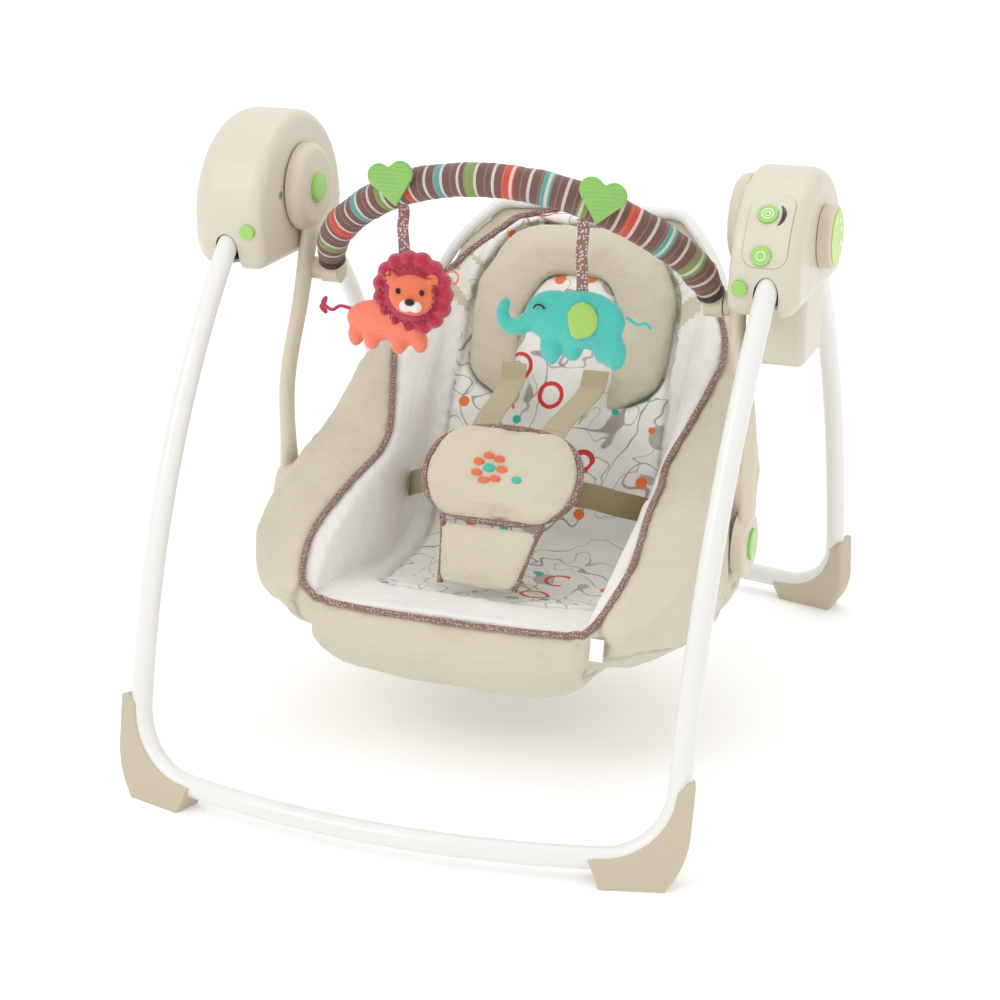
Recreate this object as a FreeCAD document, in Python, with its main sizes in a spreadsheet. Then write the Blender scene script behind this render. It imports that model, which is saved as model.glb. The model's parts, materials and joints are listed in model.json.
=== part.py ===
"""Compact folding baby swing, in millimetres, +Z up.

The origin is on the floor, midway between the four feet and under the swing's hub axis.
+X is the side with the controls and the drive, -Y is the front, where the child's feet hang.
"""
import FreeCAD, Part
import math
import os

import Sketcher
from FreeCAD import Placement, Rotation, Vector

X_AXIS, Y_AXIS, Z_AXIS = Vector(1, 0, 0), Vector(0, 1, 0), Vector(0, 0, 1)
SIDES = (("left", -1), ("right", 1))
ENDS = (("front", -1), ("rear", 1))

DIMENSIONS = (
    ("hub_height", 507.0, "swing axis above the floor"),
    ("tube_radius", 10.0, "steel leg tube, outside"),
    ("tube_wall", 1.2, "leg tube wall"),
    ("leg_top_x", 264.0, "middle of the leg where it leaves the housing"),
    ("leg_exit_y", 92.0, "leg leaves the housing this far in front of the hub"),
    ("leg_exit_z", 466.0, "leg leaves the housing at this height"),
    ("foot_x", 257.5, "corner of the bent tube, sideways"),
    ("foot_y", 328.5, "corner of the bent tube, forwards"),
    ("foot_z", 21.0, "middle of the floor tube above the floor"),
    ("leg_lean", 13.3, "lean of the leg at its lower end, degrees"),
    ("corner_trim", 62.0, "bend starts this far from the corner"),
    ("floor_bow", 15.0, "turn of the floor tube at its ends, degrees"),
    ("pivot_y", 48.5, "leg pivot in front of the hub"),
    ("pin_radius", 4.0, "leg pivot pin"),
    ("running_gap", 0.05, "radial clearance of a running fit"),
    ("knuckle_radius", 13.0, "lug at the end of a leg"),
    ("knuckle_width", 12.0, "lug thickness"),
    ("wall", 3.0, "moulded casing wall"),
    ("casing_inner_x", 228.0, "inner face of both casings"),
    ("left_outer_x", 306.0, "outer face of the left casing"),
    ("right_outer_x", 292.0, "outer face of the right casing"),
    ("casing_base_z", 440.0, "underside of the casings"),
    ("right_dome_radius", 97.5, "side view of the right casing"),
    ("right_dome_z", 460.5, "centre of the right dome"),
    ("left_dome_radius", 98.0, "side view of the left casing"),
    ("left_dome_z", 483.0, "centre of the left dome"),
    ("pod_half_depth", 38.0, "battery pod, front to back"),
    ("pod_base_z", 381.0, "underside of the battery pod"),
    ("pod_inner_x", 234.0, "inner face of the battery pod"),
    ("slot_width", 23.0, "slot that the leg folds through"),
    ("bush_radius", 9.0, "hub bush, outside"),
    ("shaft_radius", 6.0, "hub shaft"),
    ("head_radius", 43.0, "hub end of an arm"),
    ("head_inner_x", 211.0, "inner face of the hub end of an arm"),
    ("head_outer_x", 226.0, "outer face of the hub end of an arm"),
    ("cap_radius", 15.0, "cap on the hub end"),
    ("cap_thickness", 4.0, "cap on the hub end"),
    ("seat_pivot_y", -28.0, "seat pivot, forwards"),
    ("seat_pivot_z", 202.0, "seat pivot, height"),
    ("pad_radius", 30.0, "lower end of an arm"),
    ("pad_inner_x", 231.0, "inner face of the lower end"),
    ("pad_outer_x", 244.0, "outer face of the lower end"),
    ("lock_button_radius", 15.0, "recline button"),
    ("lock_button_height", 3.0, "recline button stands out by this"),
    ("seat_hub_radius", 26.0, "seat side of the recline pivot"),
    ("seat_hub_inner_x", 213.0, "inner face of the seat hub"),
    ("seat_tube_radius", 6.0, "seat frame tube"),
    ("dial_z", 497.0, "speed dial axis"),
    ("dial_radius", 29.0, "speed dial"),
    ("dial_outer_x", 306.0, "outer face of the speed dial"),
    ("dial_inset_radius", 25.0, "disc set in the dial"),
    ("panel_button_radius", 9.0, "button on the control panel"),
    ("release_radius", 7.0, "fold release button"),
    ("bar_radius", 6.0, "core of the toy bar"),
    ("sleeve_radius", 16.5, "padded sleeve of the toy bar"),
    ("bar_pivot_y", -4.0, "toy bar pivot, forwards"),
    ("bar_pivot_z", 427.0, "toy bar pivot, height"),
    ("bar_half_width", 193.0, "toy bar ends, sideways"),
    ("bar_rise", 116.0, "toy bar top above its pivot"),
    ("bar_lean", 76.0, "toy bar top in front of its pivot"),
    ("boot_radius", 13.0, "foot moulding, about the tube"),
    ("back_angle", 65.0, "slope of the seat back, degrees"),
)

document = FreeCAD.newDocument("baby_swing")
sheet = document.addObject("Spreadsheet::Sheet", "dims")
for row, (alias, value, note) in enumerate(DIMENSIONS, 1):
    sheet.set(f"A{row}", note)
    sheet.set(f"B{row}", str(value))
    sheet.setAlias(f"B{row}", alias)
document.recompute()

subparts = []


def size(alias):
    """Value of one driving dimension."""
    return float(sheet.get(alias))


def keep(item, label):
    """Mark an object as a sub-part that gets a file of its own."""
    item.Label = label
    subparts.append(item)
    return item


def bind(item, **expressions):
    """Bind an object's properties to the sheet."""
    for name, expression in expressions.items():
        item.setExpression(name, expression)


def locate(item, x="0", y="0", z="0", rotation=None):
    """Turn an object, then bind its base point to the sheet."""
    item.Placement = Placement(Vector(0, 0, 0), rotation or Rotation())
    for letter, expression in zip("xyz", (x, y, z)):
        item.setExpression(f"Placement.Base.{letter}", expression)


def cylinder(name, radius, length, x="0", y="0", z="0", direction=X_AXIS):
    """A bound cylinder whose axis runs along direction from its base point."""
    item = document.addObject("Part::Cylinder", name)
    bind(item, Radius=radius, Height=length)
    locate(item, x, y, z, Rotation(Z_AXIS, direction))
    return item


def block(name, length, width, height, x="0", y="0", z="0", rotation=None):
    """A bound box from its lowest corner."""
    item = document.addObject("Part::Box", name)
    bind(item, Length=length, Width=width, Height=height)
    locate(item, x, y, z, rotation)
    return item


def fuse(name, items):
    item = document.addObject("Part::MultiFuse", name)
    item.Shapes = items
    return item


def cut(name, base, *tools):
    """Base less every tool."""
    item = document.addObject("Part::Cut", name)
    item.Base = base
    item.Tool = tools[0] if len(tools) == 1 else group(f"{name}_tools", tools)
    return item


def group(name, items):
    """Separate solids that share one node."""
    item = document.addObject("Part::Compound", name)
    item.Links = list(items)
    return item


def round_edges(name, base, radius, chosen):
    """Part::Fillet on the edges that the test picks."""
    document.recompute()
    item = document.addObject("Part::Fillet", name)
    item.Base = base
    item.Edges = [(number, radius, radius) for number, edge in enumerate(base.Shape.Edges, 1)
                  if chosen(edge)]
    return item


def feature(name, shape):
    item = document.addObject("Part::Feature", name)
    item.Shape = shape
    return item


def body_with_sketch(name, role, geometry, constraints=()):
    """A body with one sketch on an origin plane; returns both."""
    body = document.addObject("PartDesign::Body", name)
    sketch = body.newObject("Sketcher::SketchObject", f"{name}_sketch")
    plane = next(entry for entry in body.Origin.OriginFeatures if entry.Role == role)
    sketch.AttachmentSupport = [(plane, "")]
    sketch.MapMode = "FlatFace"
    for entry in geometry:
        sketch.addGeometry(entry, False)
    for name_of_rule, rule, expression in constraints:
        number = sketch.addConstraint(rule)
        sketch.renameConstraint(number, name_of_rule)
        sketch.setExpression(f"Constraints.{name_of_rule}", expression)
    return body, sketch


def disc_body(name, radius, thickness, edge_radius, side, x, y, z):
    """A turned disc whose rounded face looks outwards along side * X."""
    circle = Part.Circle(Vector(0, 0, 0), Z_AXIS, 10)
    body, sketch = body_with_sketch(name, "YZ_Plane", [circle], [
        ("radius", Sketcher.Constraint("Radius", 0, 10.0), radius)])
    pad = body.newObject("PartDesign::Pad", f"{name}_pad")
    pad.Profile = sketch
    bind(pad, Length=thickness)
    pad.Reversed = side < 0
    document.recompute()
    far = max(pad.Shape.Edges, key=lambda edge: side * edge.BoundBox.Center.x)
    number = 1 + next(i for i, edge in enumerate(pad.Shape.Edges) if edge.isSame(far))
    fillet = body.newObject("PartDesign::Fillet", f"{name}_fillet")
    fillet.Base = (pad, [f"Edge{number}"])
    fillet.Radius = edge_radius
    locate(body, x, y, z)
    return body


# ---------------------------------------------------------------- wires and sweeps

def tangent_arc(before, corner, after, trim):
    """Arc that joins two lines at a corner, starting trim away from it."""
    towards, away = (before - corner).normalize(), (after - corner).normalize()
    half = towards.getAngle(away) / 2
    bisector = (towards + away).normalize()
    centre = corner + bisector * (trim / math.cos(half))
    start, end = corner + towards * trim, corner + away * trim
    return start, end, Part.Arc(start, centre - bisector * (trim * math.tan(half)), end).toShape()


def rounded_path(points, trims):
    """Straight runs joined by tangent arcs; one trim for each inner point."""
    edges, last = [], points[0]
    for before, corner, after, trim in zip(points, points[1:], points[2:], trims):
        start, end, arc = tangent_arc(before, corner, after, trim)
        if (start - last).Length > 1e-6:
            edges.append(Part.LineSegment(last, start).toShape())
        edges.append(arc)
        last = end
    edges.append(Part.LineSegment(last, points[-1]).toShape())
    return Part.Wire(edges)


def sweep(path, radius):
    """Round bar along a wire."""
    start = path.Edges[0]
    direction = start.tangentAt(start.FirstParameter)
    circle = Part.Wire(Part.makeCircle(radius, start.valueAt(start.FirstParameter), direction))
    return path.makePipeShell([circle], True, False)


def mirrored(shape, across=X_AXIS):
    return shape.mirror(Vector(0, 0, 0), across)


# ---------------------------------------------------------------- folding frames

def leg_geometry():
    """Right front leg: exit point, arc to the bend, the bend, and half the floor run."""
    exit_point = Vector(size("leg_top_x"), -size("leg_exit_y"), size("leg_exit_z"))
    corner = Vector(size("foot_x"), -size("foot_y"), size("foot_z"))
    lean, bow, trim = math.radians(size("leg_lean")), math.radians(size("floor_bow")), size("corner_trim")
    down = Vector(-0.012, -math.sin(lean), -math.cos(lean)).normalize()
    inward = Vector(-math.cos(bow), -math.sin(bow), 0)
    bend_start, bend_end, bend = tangent_arc(corner - down, corner, corner + inward, trim)
    chord = bend_start - exit_point
    turn = chord.getAngle(down)
    middle = (exit_point + bend_start) * 0.5
    sagitta = (bend_start - exit_point).Length / 2 * math.tan(turn / 2)
    crown = middle + outward(chord, down) * sagitta
    leg = Part.Arc(exit_point, crown, bend_start).toShape()
    half_run = bend_end.x
    sag = half_run * math.tan(bow / 2)
    front = Vector(0, bend_end.y - sag, bend_end.z)
    run = Part.Arc(bend_end, front, Vector(-bend_end.x, bend_end.y, bend_end.z)).toShape()
    return exit_point, leg, bend, run, (corner, down, inward)


def outward(chord, end_direction):
    """Direction from a chord's middle to its arc, which ends along end_direction."""
    along = Vector(chord).normalize()
    across = (end_direction - along * along.dot(end_direction)).normalize()
    return across * -1


def frame_path(end):
    """Whole U of one folding frame, from one knuckle to the other."""
    exit_point, leg, bend, run, _ = leg_geometry()
    tangent = leg.tangentAt(leg.FirstParameter)
    top = exit_point - tangent * size_of_leg_stub()
    stub = Part.LineSegment(top, exit_point).toShape()
    half = [stub, leg, bend]
    edges = half + [run] + [mirrored(edge) for edge in reversed(half)]
    wire = Part.Wire(Part.__sortEdges__(edges))
    return wire if end < 0 else mirrored(wire, Y_AXIS)


def size_of_leg_stub():
    """Length of tube inside the casing, from the exit to just below the knuckle lug."""
    exit_point, leg, _, _, _ = leg_geometry()
    return (exit_point - pivot_point()).Length - size("knuckle_radius") - 2.0


def pivot_point():
    """Right front leg pivot: on the leg's line, at its set distance from the hub."""
    exit_point, leg, _, _, _ = leg_geometry()
    tangent = leg.tangentAt(leg.FirstParameter)
    return exit_point - tangent * ((size("leg_exit_y") - size("pivot_y")) / -tangent.y)


def boot_shape():
    """Foot moulding of the right front corner: wraps the outside of the bend, flat below."""
    _, leg, bend, run, (corner, down, inward) = leg_geometry()
    up = down * -1
    normal = up.cross(inward).normalize()
    radius, trim = size("boot_radius"), size("corner_trim")
    top, reach, base = trim + 14.0, trim + 10.0, 30.0

    def at(along_leg, along_floor):
        return corner + up * along_leg + inward * along_floor - normal * radius

    bend_middle = bend.valueAt((bend.FirstParameter + bend.LastParameter) / 2)
    inner = bend_middle + (corner - bend_middle).normalize() * -2.0
    outline = Part.Wire([
        Part.LineSegment(at(top, -radius), at(trim * 0.35, -radius)).toShape(),
        Part.Arc(at(trim * 0.35, -radius), at(-4, -radius * 0.55), at(-base * 0.75, 4)).toShape(),
        Part.LineSegment(at(-base * 0.75, 4), at(-base, 4)).toShape(),
        Part.LineSegment(at(-base, 4), at(-base, reach - 14)).toShape(),
        Part.LineSegment(at(-base, reach - 14), at(1, reach)).toShape(),
        Part.LineSegment(at(1, reach), at(2, trim)).toShape(),
        Part.Arc(at(2, trim), inner - normal * radius, at(trim, 2)).toShape(),
        Part.LineSegment(at(trim, 2), at(top, -radius)).toShape(),
    ])
    solid = Part.Face(outline).extrude(normal * (2 * radius))
    long_edges = [edge for edge in solid.Edges
                  if abs(edge.BoundBox.Center.y - solid.BoundBox.Center.y) > 4
                  and max((vertex.Point - corner).dot(up * -1) for vertex in edge.Vertexes) < 12
                  and min((vertex.Point - corner).dot(inward) for vertex in edge.Vertexes) < 8]
    solid = solid.makeFillet(4.0, long_edges) if long_edges else solid
    ground = Part.makeBox(800, 800, 200, Vector(-400, -600, -200))
    core = sweep(Part.Wire([leg, bend, run]), size("tube_radius"))
    return solid.cut(ground).cut(core)


def knuckle_shape(end, side):
    """Lug with a pivot hole and a shank that fills the end of the leg tube."""
    pivot = pivot_point()
    exit_point, leg, _, _, _ = leg_geometry()
    tangent = leg.tangentAt(leg.FirstParameter)
    width = size("knuckle_width")
    lug = Part.makeCylinder(size("knuckle_radius"), width, pivot - X_AXIS * width / 2, X_AXIS)
    shank = Part.makeCylinder(size("tube_radius") - size("tube_wall"), 34, pivot + tangent * 6, tangent)
    collar_length = size("knuckle_radius") + 2 - 6
    collar = Part.makeCylinder(size("tube_radius"), collar_length, pivot + tangent * 6, tangent)
    hole = Part.makeCylinder(size("pin_radius"), 60, pivot - X_AXIS * 30, X_AXIS)
    shape = lug.fuse(shank).fuse(collar).cut(hole).removeSplitter()
    shape = shape if side > 0 else mirrored(shape)
    return shape if end < 0 else mirrored(shape, Y_AXIS)


def build_frames():
    for end_name, end in ENDS:
        path = frame_path(end)
        tube = sweep(path, size("tube_radius")).cut(sweep(path, size("tube_radius") - size("tube_wall")))
        keep(feature(f"{end_name}_tube_body", tube), f"{end_name}_leg_tube")
        boot = boot_shape() if end < 0 else mirrored(boot_shape(), Y_AXIS)
        for side_name, side in SIDES:
            shape = boot if side > 0 else mirrored(boot)
            keep(feature(f"{end_name}_{side_name}_boot", shape), f"{end_name}_{side_name}_foot")
        lugs = [feature(f"{end_name}_{side_name}_lug", knuckle_shape(end, side))
                for side_name, side in SIDES]
        keep(group(f"{end_name}_lugs", lugs), f"{end_name}_leg_knuckles")


# ---------------------------------------------------------------- casings

def dome_block(name, side, radius, centre_z, outer_x, inset, corner_radius, end_radius, inner_radius=0.0):
    """Domed block seen from the side as a circle on a flat base; inset shrinks it all round."""
    inner = "dims.casing_inner_x + dims.wall" if inset != "0" else "dims.casing_inner_x"
    length = f"{outer_x} - ({inner}) - {inset}"
    start = inner if side > 0 else f"-({outer_x} - {inset})"
    dome = cylinder(f"{name}_dome", f"{radius} - {inset}", length, start, "0", centre_z)
    below = block(f"{name}_below", length, "300", "100", start, "-150", f"dims.casing_base_z + {inset} - 100")
    whole = cut(f"{name}_whole", dome, below)
    document.recompute()
    low = whole.Shape.BoundBox.ZMin
    corners = round_edges(f"{name}_corners", whole, corner_radius, lambda edge: (
        abs(edge.BoundBox.ZMin - low) < 0.1 and abs(edge.BoundBox.ZMax - low) < 0.1
        and edge.BoundBox.YLength < 1))
    document.recompute()
    tip = max(abs(corners.Shape.BoundBox.XMin), abs(corners.Shape.BoundBox.XMax))
    rounded = round_edges(f"{name}_rounded", corners, end_radius, lambda edge: (
        edge.BoundBox.XLength < 0.1 and abs(abs(edge.BoundBox.Center.x) - tip) < 0.1))
    if not inner_radius:
        return rounded
    near = min(abs(corners.Shape.BoundBox.XMin), abs(corners.Shape.BoundBox.XMax))
    return round_edges(f"{name}_inner_rounded", rounded, inner_radius, lambda edge: (
        edge.BoundBox.XLength < 0.1 and abs(abs(edge.BoundBox.Center.x) - near) < 0.1))


def slot_cutters(name, side):
    """Snug openings in the lower corners: what each leg sweeps as it folds, with a little room."""
    exit_point, leg, _, _, _ = leg_geometry()
    pivot, resting = pivot_point(), leg.tangentAt(leg.FirstParameter)
    folded = Rotation(X_AXIS, 30).multVec(resting)
    near, far, room = 14.0, (exit_point - pivot).Length + 24, size("slot_width") / 2
    outline = [pivot + resting * near, pivot + resting * far, pivot + folded * far, pivot + folded * near]
    wedge = Part.Face(Part.makePolygon(outline + outline[:1])).extrude(X_AXIS * (2 * room))
    wedge.translate(X_AXIS * -room)
    opening = wedge.fuse([Part.makeCylinder(room, far - near, pivot + line * near, line)
                          for line in (resting, folded)])
    opening = opening if side > 0 else mirrored(opening)
    return [feature(f"{name}_{end_name}_slot", opening if end < 0 else mirrored(opening, Y_AXIS))
            for end_name, end in ENDS]


def pin_cutters(name, side):
    """Leg pivot pins, used both as pins and as the holes that hold them."""
    x = "dims.casing_inner_x" if side > 0 else "-(dims.casing_inner_x + 62)"
    pivot = pivot_point()
    return [cylinder(f"{name}_{end_name}_pin", "dims.pin_radius - dims.running_gap", "62", x,
                     str(end * -pivot.y), str(pivot.z)) for end_name, end in ENDS]


def release_hole(name, side, end, clearance):
    """Fold release button, or with clearance the hole that it slides in."""
    x, z = str(side * 240.0), "480" if side < 0 else "467"
    y = "-101" if end < 0 else "87"
    return cylinder(name, f"dims.release_radius + {clearance}", "14", x, y, z, Y_AXIS)


def build_left_casing():
    dome = ("dims.left_dome_radius", "dims.left_dome_z", "dims.left_outer_x")
    outer = dome_block("left_outer", -1, *dome, "0", 14.0, 30.0, 12.0)
    inner = dome_block("left_inner", -1, *dome, "dims.wall", 14.0, 27.0, 9.0)
    plate_zone = block("left_plate_zone", "dims.wall", "300", "300", "-dims.casing_inner_x - dims.wall",
                       "-150", "350")
    pins = pin_cutters("left_cover", -1)
    releases = [release_hole(f"left_{end_name}_release_hole", -1, end, 0.15) for end_name, end in ENDS]
    cover = cut("left_cover", outer, inner, plate_zone, *slot_cutters("left", -1), *pins, *releases)
    keep(cover, "left_casing_cover")
    plate = document.addObject("Part::MultiCommon", "left_plate_blank")
    plate.Shapes = [outer, plate_zone]
    bush_hole = cylinder("left_bush_hole", "dims.bush_radius", "40", "-250", "0", "dims.hub_height")
    keep(cut("left_plate", plate, bush_hole, *pins, *releases), "left_casing_plate")


PANEL_ANGLE = 36.0


def panel_prism(name, width, height, corner, low, high):
    """Rounded prism along the panel's own direction, between two distances from the dome's axis."""
    prism = Part.makeBox(width, height, high - low, Vector(-width / 2, -height / 2, low))
    uprights = [edge for edge in prism.Edges if edge.BoundBox.ZLength > 1]
    prism = prism.makeFillet(corner, uprights)
    prism.Placement = Placement(Vector(260, 0, size("right_dome_z")), Rotation(X_AXIS, 90 - PANEL_ANGLE))
    return feature(name, prism)


def panel_button(name, turn, clearance, low, high):
    """Button on the dome at an angle above the horizontal, or the hole that it slides in."""
    angle = math.radians(turn)
    direction = Vector(0, -math.cos(angle), math.sin(angle))
    item = document.addObject("Part::Cylinder", name)
    bind(item, Radius=f"dims.panel_button_radius + {clearance}")
    item.Height = high - low
    base = Vector(257, 0, size("right_dome_z")) + direction * low
    locate(item, str(base.x), str(base.y), str(base.z), Rotation(Z_AXIS, direction))
    return item


def build_right_casing():
    dome = ("dims.right_dome_radius", "dims.right_dome_z", "dims.right_outer_x")
    outer = dome_block("right_outer", 1, *dome, "0", 14.0, 16.0, 9.0)
    inner = dome_block("right_inner", 1, *dome, "dims.wall", 14.0, 13.0, 6.0)
    pod = block("pod", "288 - dims.pod_inner_x", "2 * dims.pod_half_depth", "70",
                "dims.pod_inner_x", "-dims.pod_half_depth", "dims.pod_base_z")
    document.recompute()
    pod = round_edges("pod_rounded", pod, 7.0, lambda edge: edge.BoundBox.ZMin < size("pod_base_z") + 0.1
                      or edge.BoundBox.ZLength > 50)
    pod_room = block("pod_room", "288 - dims.pod_inner_x - 2 * dims.wall",
                     "2 * (dims.pod_half_depth - dims.wall)", "70",
                     "dims.pod_inner_x + dims.wall", "-(dims.pod_half_depth - dims.wall)",
                     "dims.pod_base_z + dims.wall")
    door_hole = block("door_hole", "44", "60", "dims.wall", "dims.pod_inner_x + 5", "-30", "dims.pod_base_z")
    plate_zone = block("right_plate_zone", "dims.wall", "300", "300", "dims.casing_inner_x", "-150", "350")
    whole = fuse("right_whole", [outer, pod])
    pins = pin_cutters("right_cover", 1)
    releases = [release_hole(f"right_{end_name}_release_hole", 1, end, 0.15) for end_name, end in ENDS]
    panel_seat = panel_prism("panel_seat", 40.6, 70.6, 12.3, 84, 110)
    holes = [panel_button("music_hole", 44, 0.2, 85, 110), panel_button("volume_hole", 21, 0.2, 85, 110)]
    dial_hole = cylinder("dial_hole", "4 + dims.running_gap", "30", "276", "0", "dims.dial_z")
    hollow = cut("right_hollow", whole, inner)
    hollow = cut("right_pod_hollow", hollow, pod_room)
    hollow = cut("right_open_side", hollow, plate_zone)
    shell = cut("right_shell", hollow, door_hole, dial_hole, panel_seat, *slot_cutters("right", 1), *pins,
                *releases, *holes)
    document.recompute()
    shell = feature("right_shell_main", max(shell.Shape.Solids, key=lambda solid: solid.Volume))
    for name, gap, keep_front in (("right_front", 0.0, True), ("right_rear", 0.5, False)):
        seam_angle = -22.6
        turned = Rotation(X_AXIS, seam_angle)
        corner = Vector(0, -60 + gap, 440) + turned.multVec(Vector(200, -300, -200))
        zone = block(f"{name}_zone", "120", "300", "500", str(corner.x), str(corner.y), str(corner.z), turned)
        if keep_front:
            piece = document.addObject("Part::MultiCommon", name)
            piece.Shapes = [shell, zone]
        else:
            piece = cut(name, shell, zone)
        keep(piece, {"right_front": "right_casing_front", "right_rear": "right_casing_rear"}[name])
    plate = document.addObject("Part::MultiCommon", "right_plate_blank")
    plate.Shapes = [outer, plate_zone]
    bush_hole = cylinder("right_bush_hole", "dims.bush_radius", "40", "220", "0", "dims.hub_height")
    keep(cut("right_plate", plate, bush_hole, *pins, *releases), "right_casing_plate")
    skin = cylinder("panel_skin", "dims.right_dome_radius + 0.4", "80", "220", "0", "dims.right_dome_z")
    core = cylinder("panel_core", "dims.right_dome_radius - 2.4", "80", "220", "0", "dims.right_dome_z")
    blank = document.addObject("Part::MultiCommon", "panel_blank")
    blank.Shapes = [skin, panel_prism("panel_prism", 40.0, 70.0, 12.0, 70, 110)]
    keep(cut("panel", blank, core, *holes), "control_panel")
    door = block("door", "43.6", "59.6", "dims.wall", "dims.pod_inner_x + 5.2", "-29.8", "dims.pod_base_z")
    keep(door, "battery_door")


def build_pins_and_bushes():
    keep(group("pins", pin_cutters("left_pivot", -1) + pin_cutters("right_pivot", 1)), "leg_pivot_pins")
    bushes = []
    for side_name, side in SIDES:
        start = "226.4" if side > 0 else "-250"
        sleeve = cylinder(f"{side_name}_bush_sleeve", "dims.bush_radius", "23.6", start, "0",
                          "dims.hub_height")
        bore = cylinder(f"{side_name}_bush_bore", "dims.shaft_radius + dims.running_gap", "60",
                        "200" if side > 0 else "-260", "0", "dims.hub_height")
        bushes.append(cut(f"{side_name}_bush", sleeve, bore))
    keep(group("bushes", bushes), "hub_bushes")


def build_drive():
    """Electromagnet in the pod and the magnet that hangs from the right hub shaft."""
    coil = cylinder("coil", "14", "14", "255", "0", "420", Z_AXIS)
    coil_bore = cylinder("coil_bore", "5", "20", "255", "0", "418", Z_AXIS)
    keep(cut("coil_winding", coil, coil_bore), "drive_coil")
    boss = cylinder("lever_boss", "12", "6", "252", "0", "dims.hub_height")
    bar = block("lever_bar", "6", "14", "56", "252", "-7", "dims.hub_height - 61")
    bore = cylinder("lever_bore", "dims.shaft_radius", "20", "245", "0", "dims.hub_height")
    keep(cut("lever", fuse("lever_blank", [boss, bar]), bore), "magnet_lever")
    keep(cylinder("magnet", "10", "10", "255", "0", "dims.hub_height - 71", Z_AXIS), "drive_magnet")
    cells = [cylinder(f"cell_{row}_{column}", "7", "42", "dims.pod_inner_x + 6", str(-7.4 + 14.8 * column),
                      str(392.0 + 14.8 * row)) for row in range(2) for column in range(2)]
    keep(group("cells", cells), "battery_cells")
    for name, label, turn, low, high, shape in (
            ("board", "circuit_board", 62.0, 84.0, 85.6, "board"),
            ("speaker", "speaker", 118.0, 79.0, 87.0, "disc")):
        angle = math.radians(turn)
        direction = Vector(0, -math.cos(angle), math.sin(angle))
        base = Vector(260, 0, size("right_dome_z")) + direction * low
        if shape == "disc":
            item = cylinder(name, "16", str(high - low), str(base.x), str(base.y), str(base.z), direction)
        else:
            turned = Rotation(X_AXIS, 90 - turn)
            corner = base + turned.multVec(Vector(-19, -15, 0))
            item = block(name, "38", "30", "1.6", str(corner.x), str(corner.y), str(corner.z), turned)
        keep(item, label)
    switch = cylinder("switch_body", "12", "10", "278.8", "0", "dims.dial_z")
    bore = cylinder("switch_bore", "4 + dims.running_gap", "30", "270", "0", "dims.dial_z")
    keep(cut("switch", switch, bore), "speed_switch")


def build_controls():
    barrel = cylinder("dial_barrel", "dims.dial_radius", "dims.dial_outer_x - 293.6", "292.6", "0",
                      "dims.dial_z")
    barrel = round_edges("dial_rounded", barrel, 2.5, lambda edge: edge.BoundBox.XMin > 300)
    recess = cylinder("dial_recess", "dims.dial_inset_radius", "10", "dims.dial_outer_x - 3", "0",
                      "dims.dial_z")
    stem = cylinder("dial_stem", "4", "13.6", "279.5", "0", "dims.dial_z")
    keep(fuse("dial", [cut("dial_cup", barrel, recess), stem]), "speed_dial")
    inset = cylinder("inset", "dims.dial_inset_radius", "3", "dims.dial_outer_x - 3", "0", "dims.dial_z")
    keep(inset, "dial_disc")
    for name, turn in (("music_button", 44), ("volume_button", 21)):
        keep(panel_button(name, turn, 0.0, 92.2, size("right_dome_radius") + 2.2), name)
    for side_name, side in SIDES:
        for end_name, end in ENDS:
            name = f"{end_name}_{side_name}_release"
            keep(release_hole(f"{name}_cylinder", side, end, 0.0), f"{name}_button")


# ---------------------------------------------------------------- swing arms

ARM_STATIONS = (  # height, forwards, sideways, half depth; from the head down to the pad
    (486, 2, 218.5, 22), (455, -6, 219.5, 14), (420, -18, 220.5, 12), (390, -24, 223.5, 11),
    (350, -27, 231.5, 11), (300, -29, 238.0, 10), (255, -29, 238.0, 11), (220, -28, 237.5, 17))
ARM_HALF_WIDTH = 7.4


def arm_bar(side):
    sections = []
    for height, forward, sideways, half_depth in ARM_STATIONS:
        centre = Vector(side * sideways, forward, height)
        ellipse = Part.Ellipse(centre + Y_AXIS * half_depth, centre + X_AXIS * ARM_HALF_WIDTH, centre)
        sections.append(Part.Wire(ellipse.toShape()))
    return Part.makeLoft(sections, True, False)


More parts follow.
